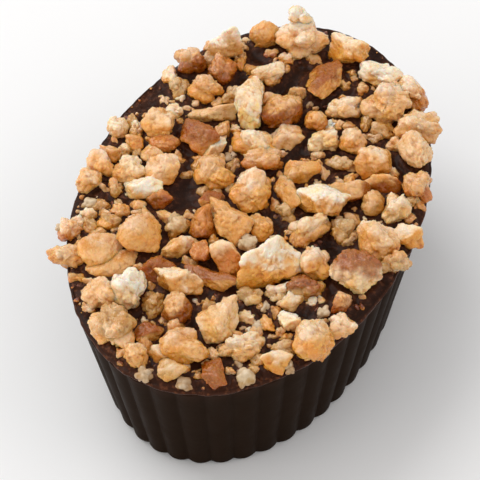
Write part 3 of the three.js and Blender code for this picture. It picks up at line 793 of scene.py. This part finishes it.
# %% Bare spots of the layer: x, y, length, width, no height, turn
BARE_SPOTS = [
    (14.0, 5.0, 2.6, 1.8, 0, 23),
    (12.6, 1.5, 4.6, 1.7, 0, -10),
    (12.9, -2.3, 3.2, 1.0, 0, 0),
    (5.8, -1.5, 5.0, 1.2, 0, -8),
    (6.2, -4.3, 2.0, 1.6, 0, 23),
    (7.4, -9.2, 2.0, 1.5, 0, 23),
    (-1.8, 5.2, 3.0, 2.6, 0, 0),
    (1.8, 6.0, 2.2, 1.0, 0, 23),
    (-1.5, -3.2, 2.4, 2.0, 0, -30),
    (0.9, -1.6, 1.8, 1.2, 0, 0),
    (-2.1, -8.0, 3.0, 1.9, 0, -66),
    (-6.8, -9.3, 3.4, 1.3, 0, 23),
    (-8.8, -8.4, 5.0, 0.9, 0, -66),
    (-14.8, -7.2, 5.2, 1.5, 0, 4),
    (-12.9, -0.6, 3.4, 0.9, 0, 23),
    (-9.9, -3.1, 1.8, 1.5, 0, 0),
    (-8.2, 2.9, 1.3, 1.2, 0, 0),
    (-14.3, 1.3, 1.3, 1.2, 0, 0),
    (-14.5, 3.5, 1.2, 1.1, 0, 0),
    (7.2, 10.9, 6.6, 1.1, 0, -28),
    (0.5, 12.7, 2.6, 0.8, 0, -15),
    (1.4, 9.9, 2.2, 0.9, 0, 23),
    (17.0, -4.2, 3.2, 1.0, 0, 68),
    (-0.5, -13.2, 1.6, 1.1, 0, 23),
    (-6.5, -12.2, 1.6, 1.0, 0, 23),
    (6.8, 5.0, 2.0, 0.9, 0, 0),
    (6.9, 1.9, 1.4, 1.0, 0, -30),
    (-5.5, -6.4, 1.6, 1.0, 0, 30),
    (11.3, 5.6, 1.6, 0.8, 0, 23),
]

# %% The small pieces between them
GOLDEN_ANGLE = math.pi * (3 - math.sqrt(5))
FILL_REACH = 0.9
FILL_SLIMMEST = 0.65
FILL_SLIM_SPREAD = 0.3
FILL_TONES = ("pale", "tan", "khaki", "gold", "tan", "cream", "khaki", "tan")
CRUMB_TONES = ("cocoa", "tan", "cocoa", "khaki", "cocoa", "gold", "cocoa")
NUT_SINK = 0.35
SMALL_SINK = 0.3
LEAST_HALF = 0.1
SEEDS_PER_SPOT = 9


def from_middle(row, x, y):
    """How far spots lie from a nut's middle along its length and across it."""
    turn = math.radians(row[5])
    dx, dy = x - row[0], y - row[1]
    return dx * math.cos(turn) + dy * math.sin(turn), dy * math.cos(turn) - dx * math.sin(turn)


def clear_of(row, x, y, room):
    """True where a spot is outside a nut's turned oval, widened by room on all sides."""
    along, across = from_middle(row, x, y)
    half_length, half_width = (max(row[k] / 2 + room, LEAST_HALF) for k in (2, 3))
    return (along / half_length) ** 2 + (across / half_width) ** 2 > 1


def strewn(lying, spots, sizes, room, share, first=0, reach=FILL_REACH, of=FILL_TONES):
    """Spot k lies at the square root of its share of the way out, turned by k golden angles. It
    gets a piece if it is clear of all that lies there, with room times its size to spare, and
    if a draw is below share. Small sizes are drawn more often than large ones."""
    rows = []
    for k in range(spots):
        out = reach * math.sqrt((k + 0.5) / spots)
        x = HALF_LENGTH * out * math.cos(k * GOLDEN_ANGLE)
        y = HALF_WIDTH * out * math.sin(k * GOLDEN_ANGLE)
        own = first + SEEDS_PER_SPOT * k
        size = sizes[0] + (sizes[1] - sizes[0]) * draw(own + 1) ** 2
        free = all(clear_of(row, x, y, room * size) for row in lying + rows)
        if free and draw(own + 2) < share:
            slim = [FILL_SLIMMEST + FILL_SLIM_SPREAD * draw(own + n) for n in (3, 4)]
            tones = [of[int(len(of) * draw(own + n))] for n in (6, 7)]
            rows.append((x, y, size, size * slim[0], size * slim[1], 360 * draw(own + 5), *tones))
    return rows


def raised(rows):
    """Small pieces would drown in the layer if they sank as deep as large ones: each gets a lift
    that leaves SMALL_SINK of its height below the surface."""
    return [(*row, max(0.0, NUT_SINK - SMALL_SINK * row[4])) for row in rows]


FILL = strewn(LARGE + BARE_SPOTS, 420, (1.0, 2.4), room=0.3, share=0.85)
taken = LARGE + BARE_SPOTS + FILL + SPECKS
BITS = strewn(taken, 1500, (0.8, 1.8), room=0.1, share=0.75, first=20000, reach=0.955)
taken = taken + BITS
CRUMBS = strewn(taken, 4000, (0.2, 0.6), 0.0, 0.4, first=50000, reach=0.985, of=CRUMB_TONES)
print("small pieces:", len(FILL), "bits:", len(BITS), "crumbs:", len(CRUMBS))

# %% [markdown]
# ## The shape of a nut
# Each nut is a ball whose radius changes with direction. For a chopped nut that radius is the
# distance to the nearest of a few flat faces; a high power blends them, so that the edges are a
# little worn. For a cluster it is the farthest skin of several round lumps. The ball itself is
# a cube blown up: unlike a globe of meridians it has no poles where the faces crowd.


# %% A ball of directions
def cube_ball(cuts):
    """Directions and faces of a cube with cuts by cuts squares a side, pushed out to radius 1.
    The tangent of an eighth turn spreads the squares evenly, and shared edges are merged."""
    steps = np.arange(cuts + 1)
    u, v = (part.ravel() for part in np.meshgrid(steps, steps, indexing="ij"))
    start = (steps[:-1, None] * (cuts + 1) + steps[None, :-1]).ravel()
    square = np.stack((start, start + cuts + 1, start + cuts + 2, start + 1), axis=-1)
    corners, faces = [], []
    for axis, side in itertools.product(range(3), (0, cuts)):
        grid = np.zeros((len(u), 3), int)
        grid[:, axis], grid[:, (axis + 1) % 3], grid[:, (axis + 2) % 3] = side, u, v
        faces.append((square if side else square[:, ::-1]) + len(corners) * len(u))
        corners.append(grid)
    merged, index = np.unique(np.concatenate(corners), axis=0, return_inverse=True)
    points = np.tan((2 * merged / cuts - 1) * np.pi / 4)
    points /= np.linalg.norm(points, axis=1, keepdims=True)
    return points, index.ravel()[np.concatenate(faces)]


def spiral(count):
    """Directions spread evenly over a sphere: heights step down evenly, and each is turned by
    one more golden angle."""
    k = np.arange(count)
    z = 1 - (2 * k + 1) / count
    r = np.sqrt(1 - z * z)
    return np.stack((r * np.cos(k * GOLDEN_ANGLE), r * np.sin(k * GOLDEN_ANGLE), z), axis=1)


# %% Cut faces and round lumps
SHAPES = {
    "chip": {"faces": 8, "sharpness": 10, "lean": 12},
    "round": {"faces": 16, "sharpness": 6, "lean": 12},
    "slice": {"faces": 14, "sharpness": 6, "lean": 4},
    "cluster": {"lumps": 8, "sharpness": 12, "lean": 12},
}
FACE_JITTER = 0.8
FACE_NEAREST = 0.75
FACE_SPREAD = 0.3
LUMP_DISTANCE = 0.55
LUMP_SMALLEST = 0.36
LUMP_SPREAD = 0.22
CORE_RADIUS = 0.62
SEEDS_PER_NUT = 100
SEEDS_PER_FACE = 7


def shaken(seed, count):
    """The spiral's directions, each pushed by its own draws, and each one's seed."""
    own = seed + SEEDS_PER_FACE * np.arange(count)
    push = np.stack([draw(own + n) - 0.5 for n in range(3)], axis=1)
    directions = spiral(count) + FACE_JITTER * push
    return directions / np.linalg.norm(directions, axis=1, keepdims=True), own


def cut_radius(directions, seed, faces, sharpness):
    """The radius at each direction d is (sum over faces of (n . d)^p)^(-1/p), where n is a
    face's normal over its distance. The shares of the sum say which face a point lies on."""
    normals, own = shaken(seed, faces)
    reach = FACE_NEAREST + FACE_SPREAD * draw(own + 3)
    pull = np.maximum(directions @ (normals / reach[:, None]).T, 0) ** sharpness
    total = pull.sum(axis=1)
    return total ** (-1 / sharpness), pull / total[:, None], normals


def lump_radius(directions, seed, lumps, sharpness):
    """The skin of lump k in direction d is at c.d + sqrt(r^2 - |c|^2 + (c.d)^2). A high power
    mean of those skins and of a core takes the farthest one, with soft creases."""
    centres, own = shaken(seed, lumps)
    radii = LUMP_SMALLEST + LUMP_SPREAD * draw(own + 3)
    along = directions @ (centres * LUMP_DISTANCE).T
    inside = radii**2 - LUMP_DISTANCE**2 + along**2
    skin = np.where(inside > 0, along + np.sqrt(np.maximum(inside, 0)), 0)
    pull = np.hstack((skin, np.full((len(skin), 1), CORE_RADIUS))) ** sharpness
    total = pull.sum(axis=1)
    return total ** (1 / sharpness), pull / total[:, None], np.vstack((centres, (0, 0, 1)))


# %% [markdown]
# A nut's colour follows its faces. The skin side and the cut side differ, and a face is more or
# less of the top tone the more it looks up and away from us, towards the key lamp, so the top tone
# is partly painted light; a draw breaks the rule now and then. Where two faces meet, their shares
# blend as the edge between them does.


# %% One nut, set in the layer
TOP_FROM = 0.0
TOP_FULL = 0.8
TOP_LUCK = 0.4
LUCK_STEP = 11
# The way the painted light on the nuts comes from: up, and away from the camera.
PAINTED_LIGHT_SIDE = np.array((0, 0, 0.85)) + 0.5 * view_away


def turn_about(axis, degrees):
    """The matrix that turns row vectors about the x axis (0) or the z axis (2)."""
    c, s = math.cos(math.radians(degrees)), math.sin(math.radians(degrees))
    first, second = [k for k in range(3) if k != axis]
    matrix = np.eye(3)
    matrix[first, first] = matrix[second, second] = c
    matrix[first, second], matrix[second, first] = s, -s
    return matrix


def one_nut(kind, row, seed, directions):
    """The points of one nut, each one's share of the top tone, and the nut's own middle: the
    polar form is fitted to the nut's length, width and height, leaned about its length, turned
    and set down."""
    x, y, length, width, height, turn, _, _, *extra = row
    shape = SHAPES[kind]
    form = lump_radius if kind == "cluster" else cut_radius
    count = shape.get("lumps") or shape["faces"]
    radius, share, normals = form(directions, seed, count, shape["sharpness"])
    points = directions * radius[:, None]
    low, high = points.min(axis=0), points.max(axis=0)
    points = (points - (low + high) / 2) * ((length, width, height) / (high - low))
    lean = extra[1] if len(extra) > 1 else 2 * shape["lean"] * (draw(seed + 5) - 0.5)
    turned = turn_about(0, lean) @ turn_about(2, turn)
    points = points @ turned
    normals = normals @ turned
    lift = extra[0] if extra else 0.0
    middle = np.array((x, y, BODY_HEIGHT - NUT_SINK + lift - points[:, 2].min()))
    # The share of the top tone is painted light: faces that look up and away from us get more of it.
    luck = TOP_LUCK * (draw(seed + LUCK_STEP * np.arange(len(normals))) - 0.5)
    painted_lit_facing = smooth_step(TOP_FROM, TOP_FULL, normals @ PAINTED_LIGHT_SIDE + luck)
    return points + middle, share @ painted_lit_facing, middle


# %% [markdown]
# ## Relief
# At this point the nuts are smooth pebbles. Three layers of relief make them food: slow dents
# that bend the faces, knobs and grains of sugar that grew together on the surface, and a fine
# roughness. They move the points straight out from each nut's middle, so that nothing folds
# over. What sinks below its surroundings is kept as a value, which the material browns as
# painted shade in the creases. Where sugar lies in a pale crust, partly a painted highlight on the
# lit side, is kept as a second value.


# %% Relief and tones of a kind of nut
DENT_CELLS = (1.3, 0.65)
FINER_SHARE = 0.7
KNOB_CELL = 0.62
PIP_CELL = 0.27
PIP_MIDDLE = 0.6
ROUGH_CELLS = (0.34, 0.19)
SUGARED_CELL = 1.6
PATCH_CELLS = (0.9, 0.4)
USUAL_SIZE = 2.4
# Painted light and shade on the nuts: a deeper tint on unlit parts, a paler tone on lit parts, frost
# that is partly a painted highlight, and a foot that is partly painted shade.
PAINTED_SHADE_TINT = np.array((1.0, 0.94, 0.68))
PAINTED_LIGHT_TONE = np.array(linear(252, 232, 212))
PAINTED_LIGHT_SHARE = 0.3
PALE_GAIN = 1.8
FROST_AND_HIGHLIGHT_SHARE = 0.7
FOOT_CHOCOLATE_AND_SHADE_TINT = np.array((0.76, 0.6, 0.42))
FOOT_TOP = 0.7


def relief_of(points, sizes, relief, seed):
    """The height in mm at each point, and the relief as it looks, from about -1 in the hollows
    to 1. relief is the height of (dents, grains, roughness). Small nuts have slighter dents, and
    the grains are weak where little sugar grew."""
    dents = two_noises(points, DENT_CELLS, FINER_SHARE, seed)
    sugared = smooth_step(-0.6, 0.4, soft_noise(points, SUGARED_CELL, seed + 12))
    knobs = chunks(points, KNOB_CELL, seed + 2)
    pips = grains(points, PIP_CELL, seed + 6) - PIP_MIDDLE
    rough = two_noises(points, ROUGH_CELLS, FINER_SHARE, seed + 9)
    grown = (0.5 + 0.5 * sugared) * (0.8 * knobs + 0.5 * pips)
    scale = np.clip(sizes / USUAL_SIZE, 0.3, 1.3)
    height = relief[0] * scale * dents + relief[1] * grown + relief[2] * rough
    return height, 0.6 * knobs + 0.8 * pips + 0.3 * dents + 0.35 * rough


def light_on(points, outward, middles, sizes, look, seed):
    """How much painted light a point gets, about -1 to 1, its share of the pale side: more where it
    faces up and away from us, where it is high on its nut, in patches, and on what stands out."""
    patches = two_noises(points, PATCH_CELLS, 0.5, seed + 14)
    upward = (points - middles) @ PAINTED_LIGHT_SIDE / sizes
    return 0.3 * (outward @ PAINTED_LIGHT_SIDE - 0.3) + 0.55 * upward + 0.45 * patches + 0.15 * look


def tones_of(points, light, painted_lit_facing, tops, sides):
    """The side tone turns into the top tone as the painted light grows. Where it is low the tone is
    tinted deeper, a painted shade, and where it is high paler, a painted light. At the foot
    chocolate clings to the nut, darkened further by painted shade. Also how much frost of sugar
    lies at each point, which pale tones have more of; it follows the painted light, so it is partly
    a painted highlight."""
    # Painted light and shade: the top tone and a paler tone where the point is lit, a deeper tint
    # where it is not.
    painted_top_tone_share = smooth_step(-0.35, 0.35, light + 0.8 * (painted_lit_facing - 0.5))[:, None]
    tones = painted_top_tone_share * tops + (1 - painted_top_tone_share) * sides
    painted_shade_share = smooth_step(0.1, -0.9, light)[:, None]
    painted_light_amount = smooth_step(-0.1, 0.9, light)[:, None]
    tones = tones * (1 - painted_shade_share * (1 - PAINTED_SHADE_TINT))
    lightness = np.clip(PALE_GAIN * tones[:, 1:2], 0, 1) ** 2
    tones = tones + PAINTED_LIGHT_SHARE * painted_light_amount * lightness * (PAINTED_LIGHT_TONE - tones)
    # Darker at the foot: chocolate clinging to the nut, and painted shade where it meets the layer.
    foot_chocolate_and_shade = smooth_step(BODY_HEIGHT + FOOT_TOP, BODY_HEIGHT - 0.1, points[:, 2])[:, None]
    # Frost of sugar on the lit side: partly real sugar, partly a painted highlight.
    frost = FROST_AND_HIGHLIGHT_SHARE * smooth_step(-0.2, 0.8, light) * lightness[:, 0]
    return tones * (1 - foot_chocolate_and_shade * (1 - FOOT_CHOCOLATE_AND_SHADE_TINT)), frost


# %% A kind of nut as one piece
POINT_SPACING = 0.1
FEWEST_CUTS = 3
ball_of = functools.lru_cache(cube_ball)


def joined(kind, numbered, spacing):
    """All nuts of a kind, each on a ball with squares of the spacing: the points and, for each,
    the share of the top tone, its nut's middle and least size, and the two tones. Then the
    faces."""
    parts, faces = [], []
    total = 0
    for seed, row in numbered:
        quarter_turn = np.mean(row[2:5]) * math.pi / 4
        directions, squares = ball_of(max(FEWEST_CUTS, round(quarter_turn / spacing)))
        points, painted_lit_facing, middle = one_nut(kind, row, seed, directions)
        of_nut = np.concatenate((middle, [min(row[2:5])], TONES[row[6]], TONES[row[7]]))
        parts.append(np.column_stack((points, painted_lit_facing, np.tile(of_nut, (len(points), 1)))))
        faces.append(squares + total)
        total += len(points)
    columns = np.split(np.concatenate(parts), (3, 4, 7, 8, 11), axis=1)
    points, painted_lit_facing, middles, sizes, tops, sides = columns
    return points, painted_lit_facing[:, 0], middles, sizes[:, 0], tops, sides, faces


def nut_piece(name, kind, numbered, material, relief, slot="nuts", spacing=POINT_SPACING):
    """All nuts of a kind as one mesh. numbered is a list of (seed, row), and relief the height in
    mm of (dents, grains, roughness)."""
    seed = numbered[0][0]
    points, painted_lit_facing, middles, sizes, tops, sides, faces = joined(kind, numbered, spacing)
    outward = points - middles
    outward /= np.linalg.norm(outward, axis=1, keepdims=True)
    height, look = relief_of(points, sizes, relief, seed)
    points = points + outward * height[:, None]
    # Painted light and shade for the nut tones, from how each point faces the key lamp.
    light = light_on(points, outward, middles, sizes, look, seed)
    tones, frost = tones_of(points, light, painted_lit_facing, tops, sides)
    # The creases and hollows carry a value for painted shade.
    own = {"tone": tones, "hollow": smooth_step(0.1, 0.9, -look), "frost": frost}
    make_piece(name, points, faces, "topping", slot, material, **own)


def numbered(rows, first_seed):
    """Each row with the seed of its own draws."""
    return [(first_seed + SEEDS_PER_NUT * n, row) for n, row in enumerate(rows)]


SPECK_SEED = 30000
BIT_SEED = 40000
CRUMB_SEED = 90000
SUGAR_TONES = ("sugar", "clear")
placed = {}
next_seed = SEEDS_PER_NUT
kinds = {"chip": CHIPS, "cluster": CLUSTERS, "round": ROUNDS, "slice": SLICES, "lump": LUMPS}
for kind, rows in kinds.items():
    placed[kind] = numbered(rows, next_seed)
    next_seed += SEEDS_PER_NUT * len(rows)
small = placed["lump"] + numbered(raised(SPECKS), SPECK_SEED)
sugar_lumps = [pair for pair in small if pair[1][6] in SUGAR_TONES]
nut_lumps = [pair for pair in small if pair[1][6] not in SUGAR_TONES]

nut_piece("chips", "chip", placed["chip"], chip_skin, (0.2, 0.2, 0.05))
nut_piece("clusters", "cluster", placed["cluster"], cluster_skin, (0.22, 0.27, 0.05))
nut_piece("rounds", "round", placed["round"], round_skin, (0.17, 0.24, 0.05), spacing=0.09)
nut_piece("slices", "slice", placed["slice"], chip_skin, (0.08, 0.14, 0.04), spacing=0.08)
nut_piece("lumps", "cluster", nut_lumps, cluster_skin, (0.16, 0.24, 0.05), spacing=0.08)
nut_piece("sugar_lumps", "cluster", sugar_lumps, lump_sugar, (0.14, 0.2, 0.05), "sugar", 0.08)
nut_piece("small_pieces", "chip", numbered(FILL, next_seed), cluster_skin, (0.16, 0.22, 0.05))
bits = numbered(raised(BITS), BIT_SEED)
nut_piece("bits", "chip", bits, cluster_skin, (0.16, 0.19, 0.05), spacing=0.11)
crumbs = numbered(raised(CRUMBS), CRUMB_SEED)
nut_piece("crumbs", "chip", crumbs, chip_skin, (0.1, 0.04, 0.02), spacing=0.16)

# %% [markdown]
# ## The closing layer
# The layer was poured on the filling and the nuts were strewn on it while it was soft, so it
# climbs a little up each nut. We could push the nuts into a simulated liquid, but the climb has
# a simple form: it falls off with the distance from the nut. The layer is a grid of rings from
# the middle to the rim, and its height adds slow waves to the largest of those climbs. It is
# crumbly in patches, where nut dust got into it, and at the rim it ends in a thin uneven lip.

# %% Height of the layer
LAYER_STEPS = 690
LAYER_RINGS = 84
RING_CROWDING = 1.3
INNERMOST_RING = 0.012
UNDER_RINGS = (0.3, 0.7)
EDGE_RADIUS = 0.22
LIP = 0.03
LIP_UNEVENNESS = 0.05
LIP_LOOP = 15
CLIMB = 0.28
CLIMB_WIDTH = 0.3
WAVE = 0.08
CRUMBLE = 0.2
CLEARANCE = 0.02
WARMEST = 0.6


def climb(x, y, rows):
    """CLIMB * exp(-distance / CLIMB_WIDTH), the largest over all nuts, where the distance is
    measured along the line from the nut's middle and is 0 inside its oval."""
    best = np.zeros(x.shape)
    for row in rows:
        along, across = from_middle(row, x, y)
        ratio = np.maximum(np.hypot(along / (row[2] / 2), across / (row[3] / 2)), 1)
        gap = np.hypot(along, across) * (1 - 1 / ratio)
        best = np.maximum(best, np.exp(-gap / CLIMB_WIDTH))
    return CLIMB * best


layer_angles, _ = even_angles(LAYER_STEPS)
rim_circle = np.stack((np.cos(layer_angles), np.sin(layer_angles), 0 * layer_angles), axis=1)
around = rim_circle * LIP_LOOP
lip = LIP + LIP_UNEVENNESS * two_noises(around, (1.4, 0.5), 1, seed=21)
lip_height = 0.12 * two_noises(around, (1.8, 0.6), 2 / 3, seed=23)
roll = np.linspace(-0.35, np.pi / 2, 8)
edge_heights = BODY_HEIGHT - EDGE_RADIUS * (1 - np.sin(roll))
side_heights = np.concatenate(((LAYER_BOTTOM, CUP_TOP - CLEARANCE), edge_heights))
inside_cup = np.full(2, -RIM_THICKNESS - CLEARANCE)
side_offsets = np.concatenate((inside_cup, EDGE_RADIUS * (np.cos(roll) - 1)))
lip_share = np.array([0] * len(inside_cup) + [1] * len(roll))[:, None]
side_rows = oval_rows(layer_angles, side_heights, side_offsets[:, None] + lip_share * lip[None])
side_rows[2:6, :, 2] += lip_height[None] * np.array((1, 0.9, 0.6, 0.3))[:, None]
top_shares = 1 - (1 - INNERMOST_RING) * np.linspace(0, 1, LAYER_RINGS)[1:] ** RING_CROWDING
layer_points, layer_faces = closed_by_flats(side_rows, UNDER_RINGS, top_shares)
print("lip from", round(float(lip.min()), 2), "to", round(float(lip.max()), 2), "mm beyond the wall")

# %% The layer's mesh
on_top = np.zeros(len(layer_points), bool)
first_top = len(layer_points) - 2 - (LAYER_RINGS - 1) * LAYER_STEPS
on_top[first_top:-2] = True
on_top[-1] = True
x, y = layer_points[on_top, 0], layer_points[on_top, 1]
rim_share = np.hypot(x / HALF_LENGTH, y / HALF_WIDTH)
inner = smooth_step(1.0, 0.9, rim_share)
top_points = layer_points[on_top]
wave = WAVE * two_noises(top_points, (3.1, 1.1), 0.5, seed=31)
dusty = soft_noise(top_points, 2.6, 33) + 0.35 * smooth_step(0.8, 1, rim_share)
crumbly = smooth_step(0.0, 0.5, dusty)
crumble = CRUMBLE * (0.8 * soft_noise(top_points, 0.7, 34) + chunks(top_points, 0.55, 35))
rise_by_nuts = climb(x, y, LARGE + FILL + SPECKS + BITS)
layer_points[on_top, 2] += inner * wave + smooth_step(1.0, 0.97, rim_share) * crumbly * crumble
layer_points[on_top, 2] += smooth_step(1.0, 0.955, rim_share) * rise_by_nuts
out_share = np.hypot(layer_points[:, 0] / HALF_LENGTH, layer_points[:, 1] / HALF_WIDTH)
layer_warmth_and_nut_glow = WARMEST * smooth_step(0.98, 1.0, out_share)
near_rim = crumbly * smooth_step(0.84, 0.97, rim_share)
# Warmer round each nut: nut dust, and painted warm light thrown onto the layer by the nuts.
nut_glow_and_dust = rise_by_nuts / CLIMB
layer_warmth_and_nut_glow[on_top] = np.maximum(layer_warmth_and_nut_glow[on_top], WARMEST * np.maximum(near_rim, nut_glow_and_dust))
make_piece(
    "layer", layer_points, layer_faces, "topping", "layer", layer_chocolate, rim=layer_warmth_and_nut_glow
)

# %% [markdown]
# ## Floor and light
# The floor is plain and pale. The light is soft and comes mostly from behind and from the left,
# as in the photograph: the tops of the nuts are bright, and the sides that face the camera stay
# warm and deeper. Large area lights give that, helped by the painted light and shade in the nuts'
# tones, and a pale sky fills the shadows.

# %% The floor
FLOOR_SIZE = 3000.0
PAPER_SCALE = 30.0
DARKER_PAPER = (0.86, 0.86, 0.86, 1)
LIGHTER_PAPER = (0.9, 0.9, 0.9, 1)
floor_points = FLOOR_SIZE / 2 * np.array([(-1, -1, 0), (1, -1, 0), (1, 1, 0), (-1, 1, 0)])
floor_mesh = bpy.data.meshes.new("floor")
floor_mesh.from_pydata((floor_points * MM).tolist(), [], [(0, 1, 2, 3)])
floor = bpy.data.objects.new("floor", floor_mesh)
bpy.context.scene.collection.objects.link(floor)
floor_material, floor_tree, floor_shader, floor_add, floor_place = new_material("floor")
paper = noise_value(floor_add, floor_place, PAPER_SCALE)
floor_tone = blend(floor_add, "MIX", paper, DARKER_PAPER, LIGHTER_PAPER)
floor_tree.links.new(floor_tone, floor_shader.inputs["Base Color"])
floor_shader.inputs["Roughness"].default_value = 0.9
floor_shader.inputs["Specular IOR Level"].default_value = 0.1
floor_mesh.materials.append(floor_material)

# %% The lights
def soft_light(name, direction, distance, size, power, colour=(1, 1, 1)):
    """A square area light at a distance in mm from the chocolate, facing it. direction is
    (towards the picture's right, away from the camera, up)."""
    level_right = np.cross(view_away, (0, 0, 1))
    from_object = direction @ np.stack((level_right, view_away, (0, 0, 1)))
    from_object = Vector(from_object / np.linalg.norm(from_object))
    data = bpy.data.lights.new(name, "AREA")
    data.size = size * MM
    data.energy = power
    data.color = colour
    light = bpy.data.objects.new(name, data)
    light.location = from_object * distance * MM
    light.rotation_mode = "QUATERNION"
    light.rotation_quaternion = from_object.to_track_quat("Z", "Y")
    bpy.context.scene.collection.objects.link(light)


soft_light("key", (-0.6, 0.55, 1.1), distance=450, size=320, power=0.88)
soft_light("left", (-1.0, -0.3, 0.25), 450, 260, power=0.46, colour=(1, 0.92, 0.84))
soft_light("right", (0.9, -0.2, 0.8), 500, 300, power=0.22, colour=(1, 0.88, 0.84))
SKY_STRENGTH = 0.72
world = bpy.data.worlds.new("studio")
world.use_nodes = True
sky = world.node_tree.nodes["Background"]
sky.inputs["Color"].default_value = (1, 1, 1, 1)
sky.inputs["Strength"].default_value = SKY_STRENGTH
bpy.context.scene.world = world
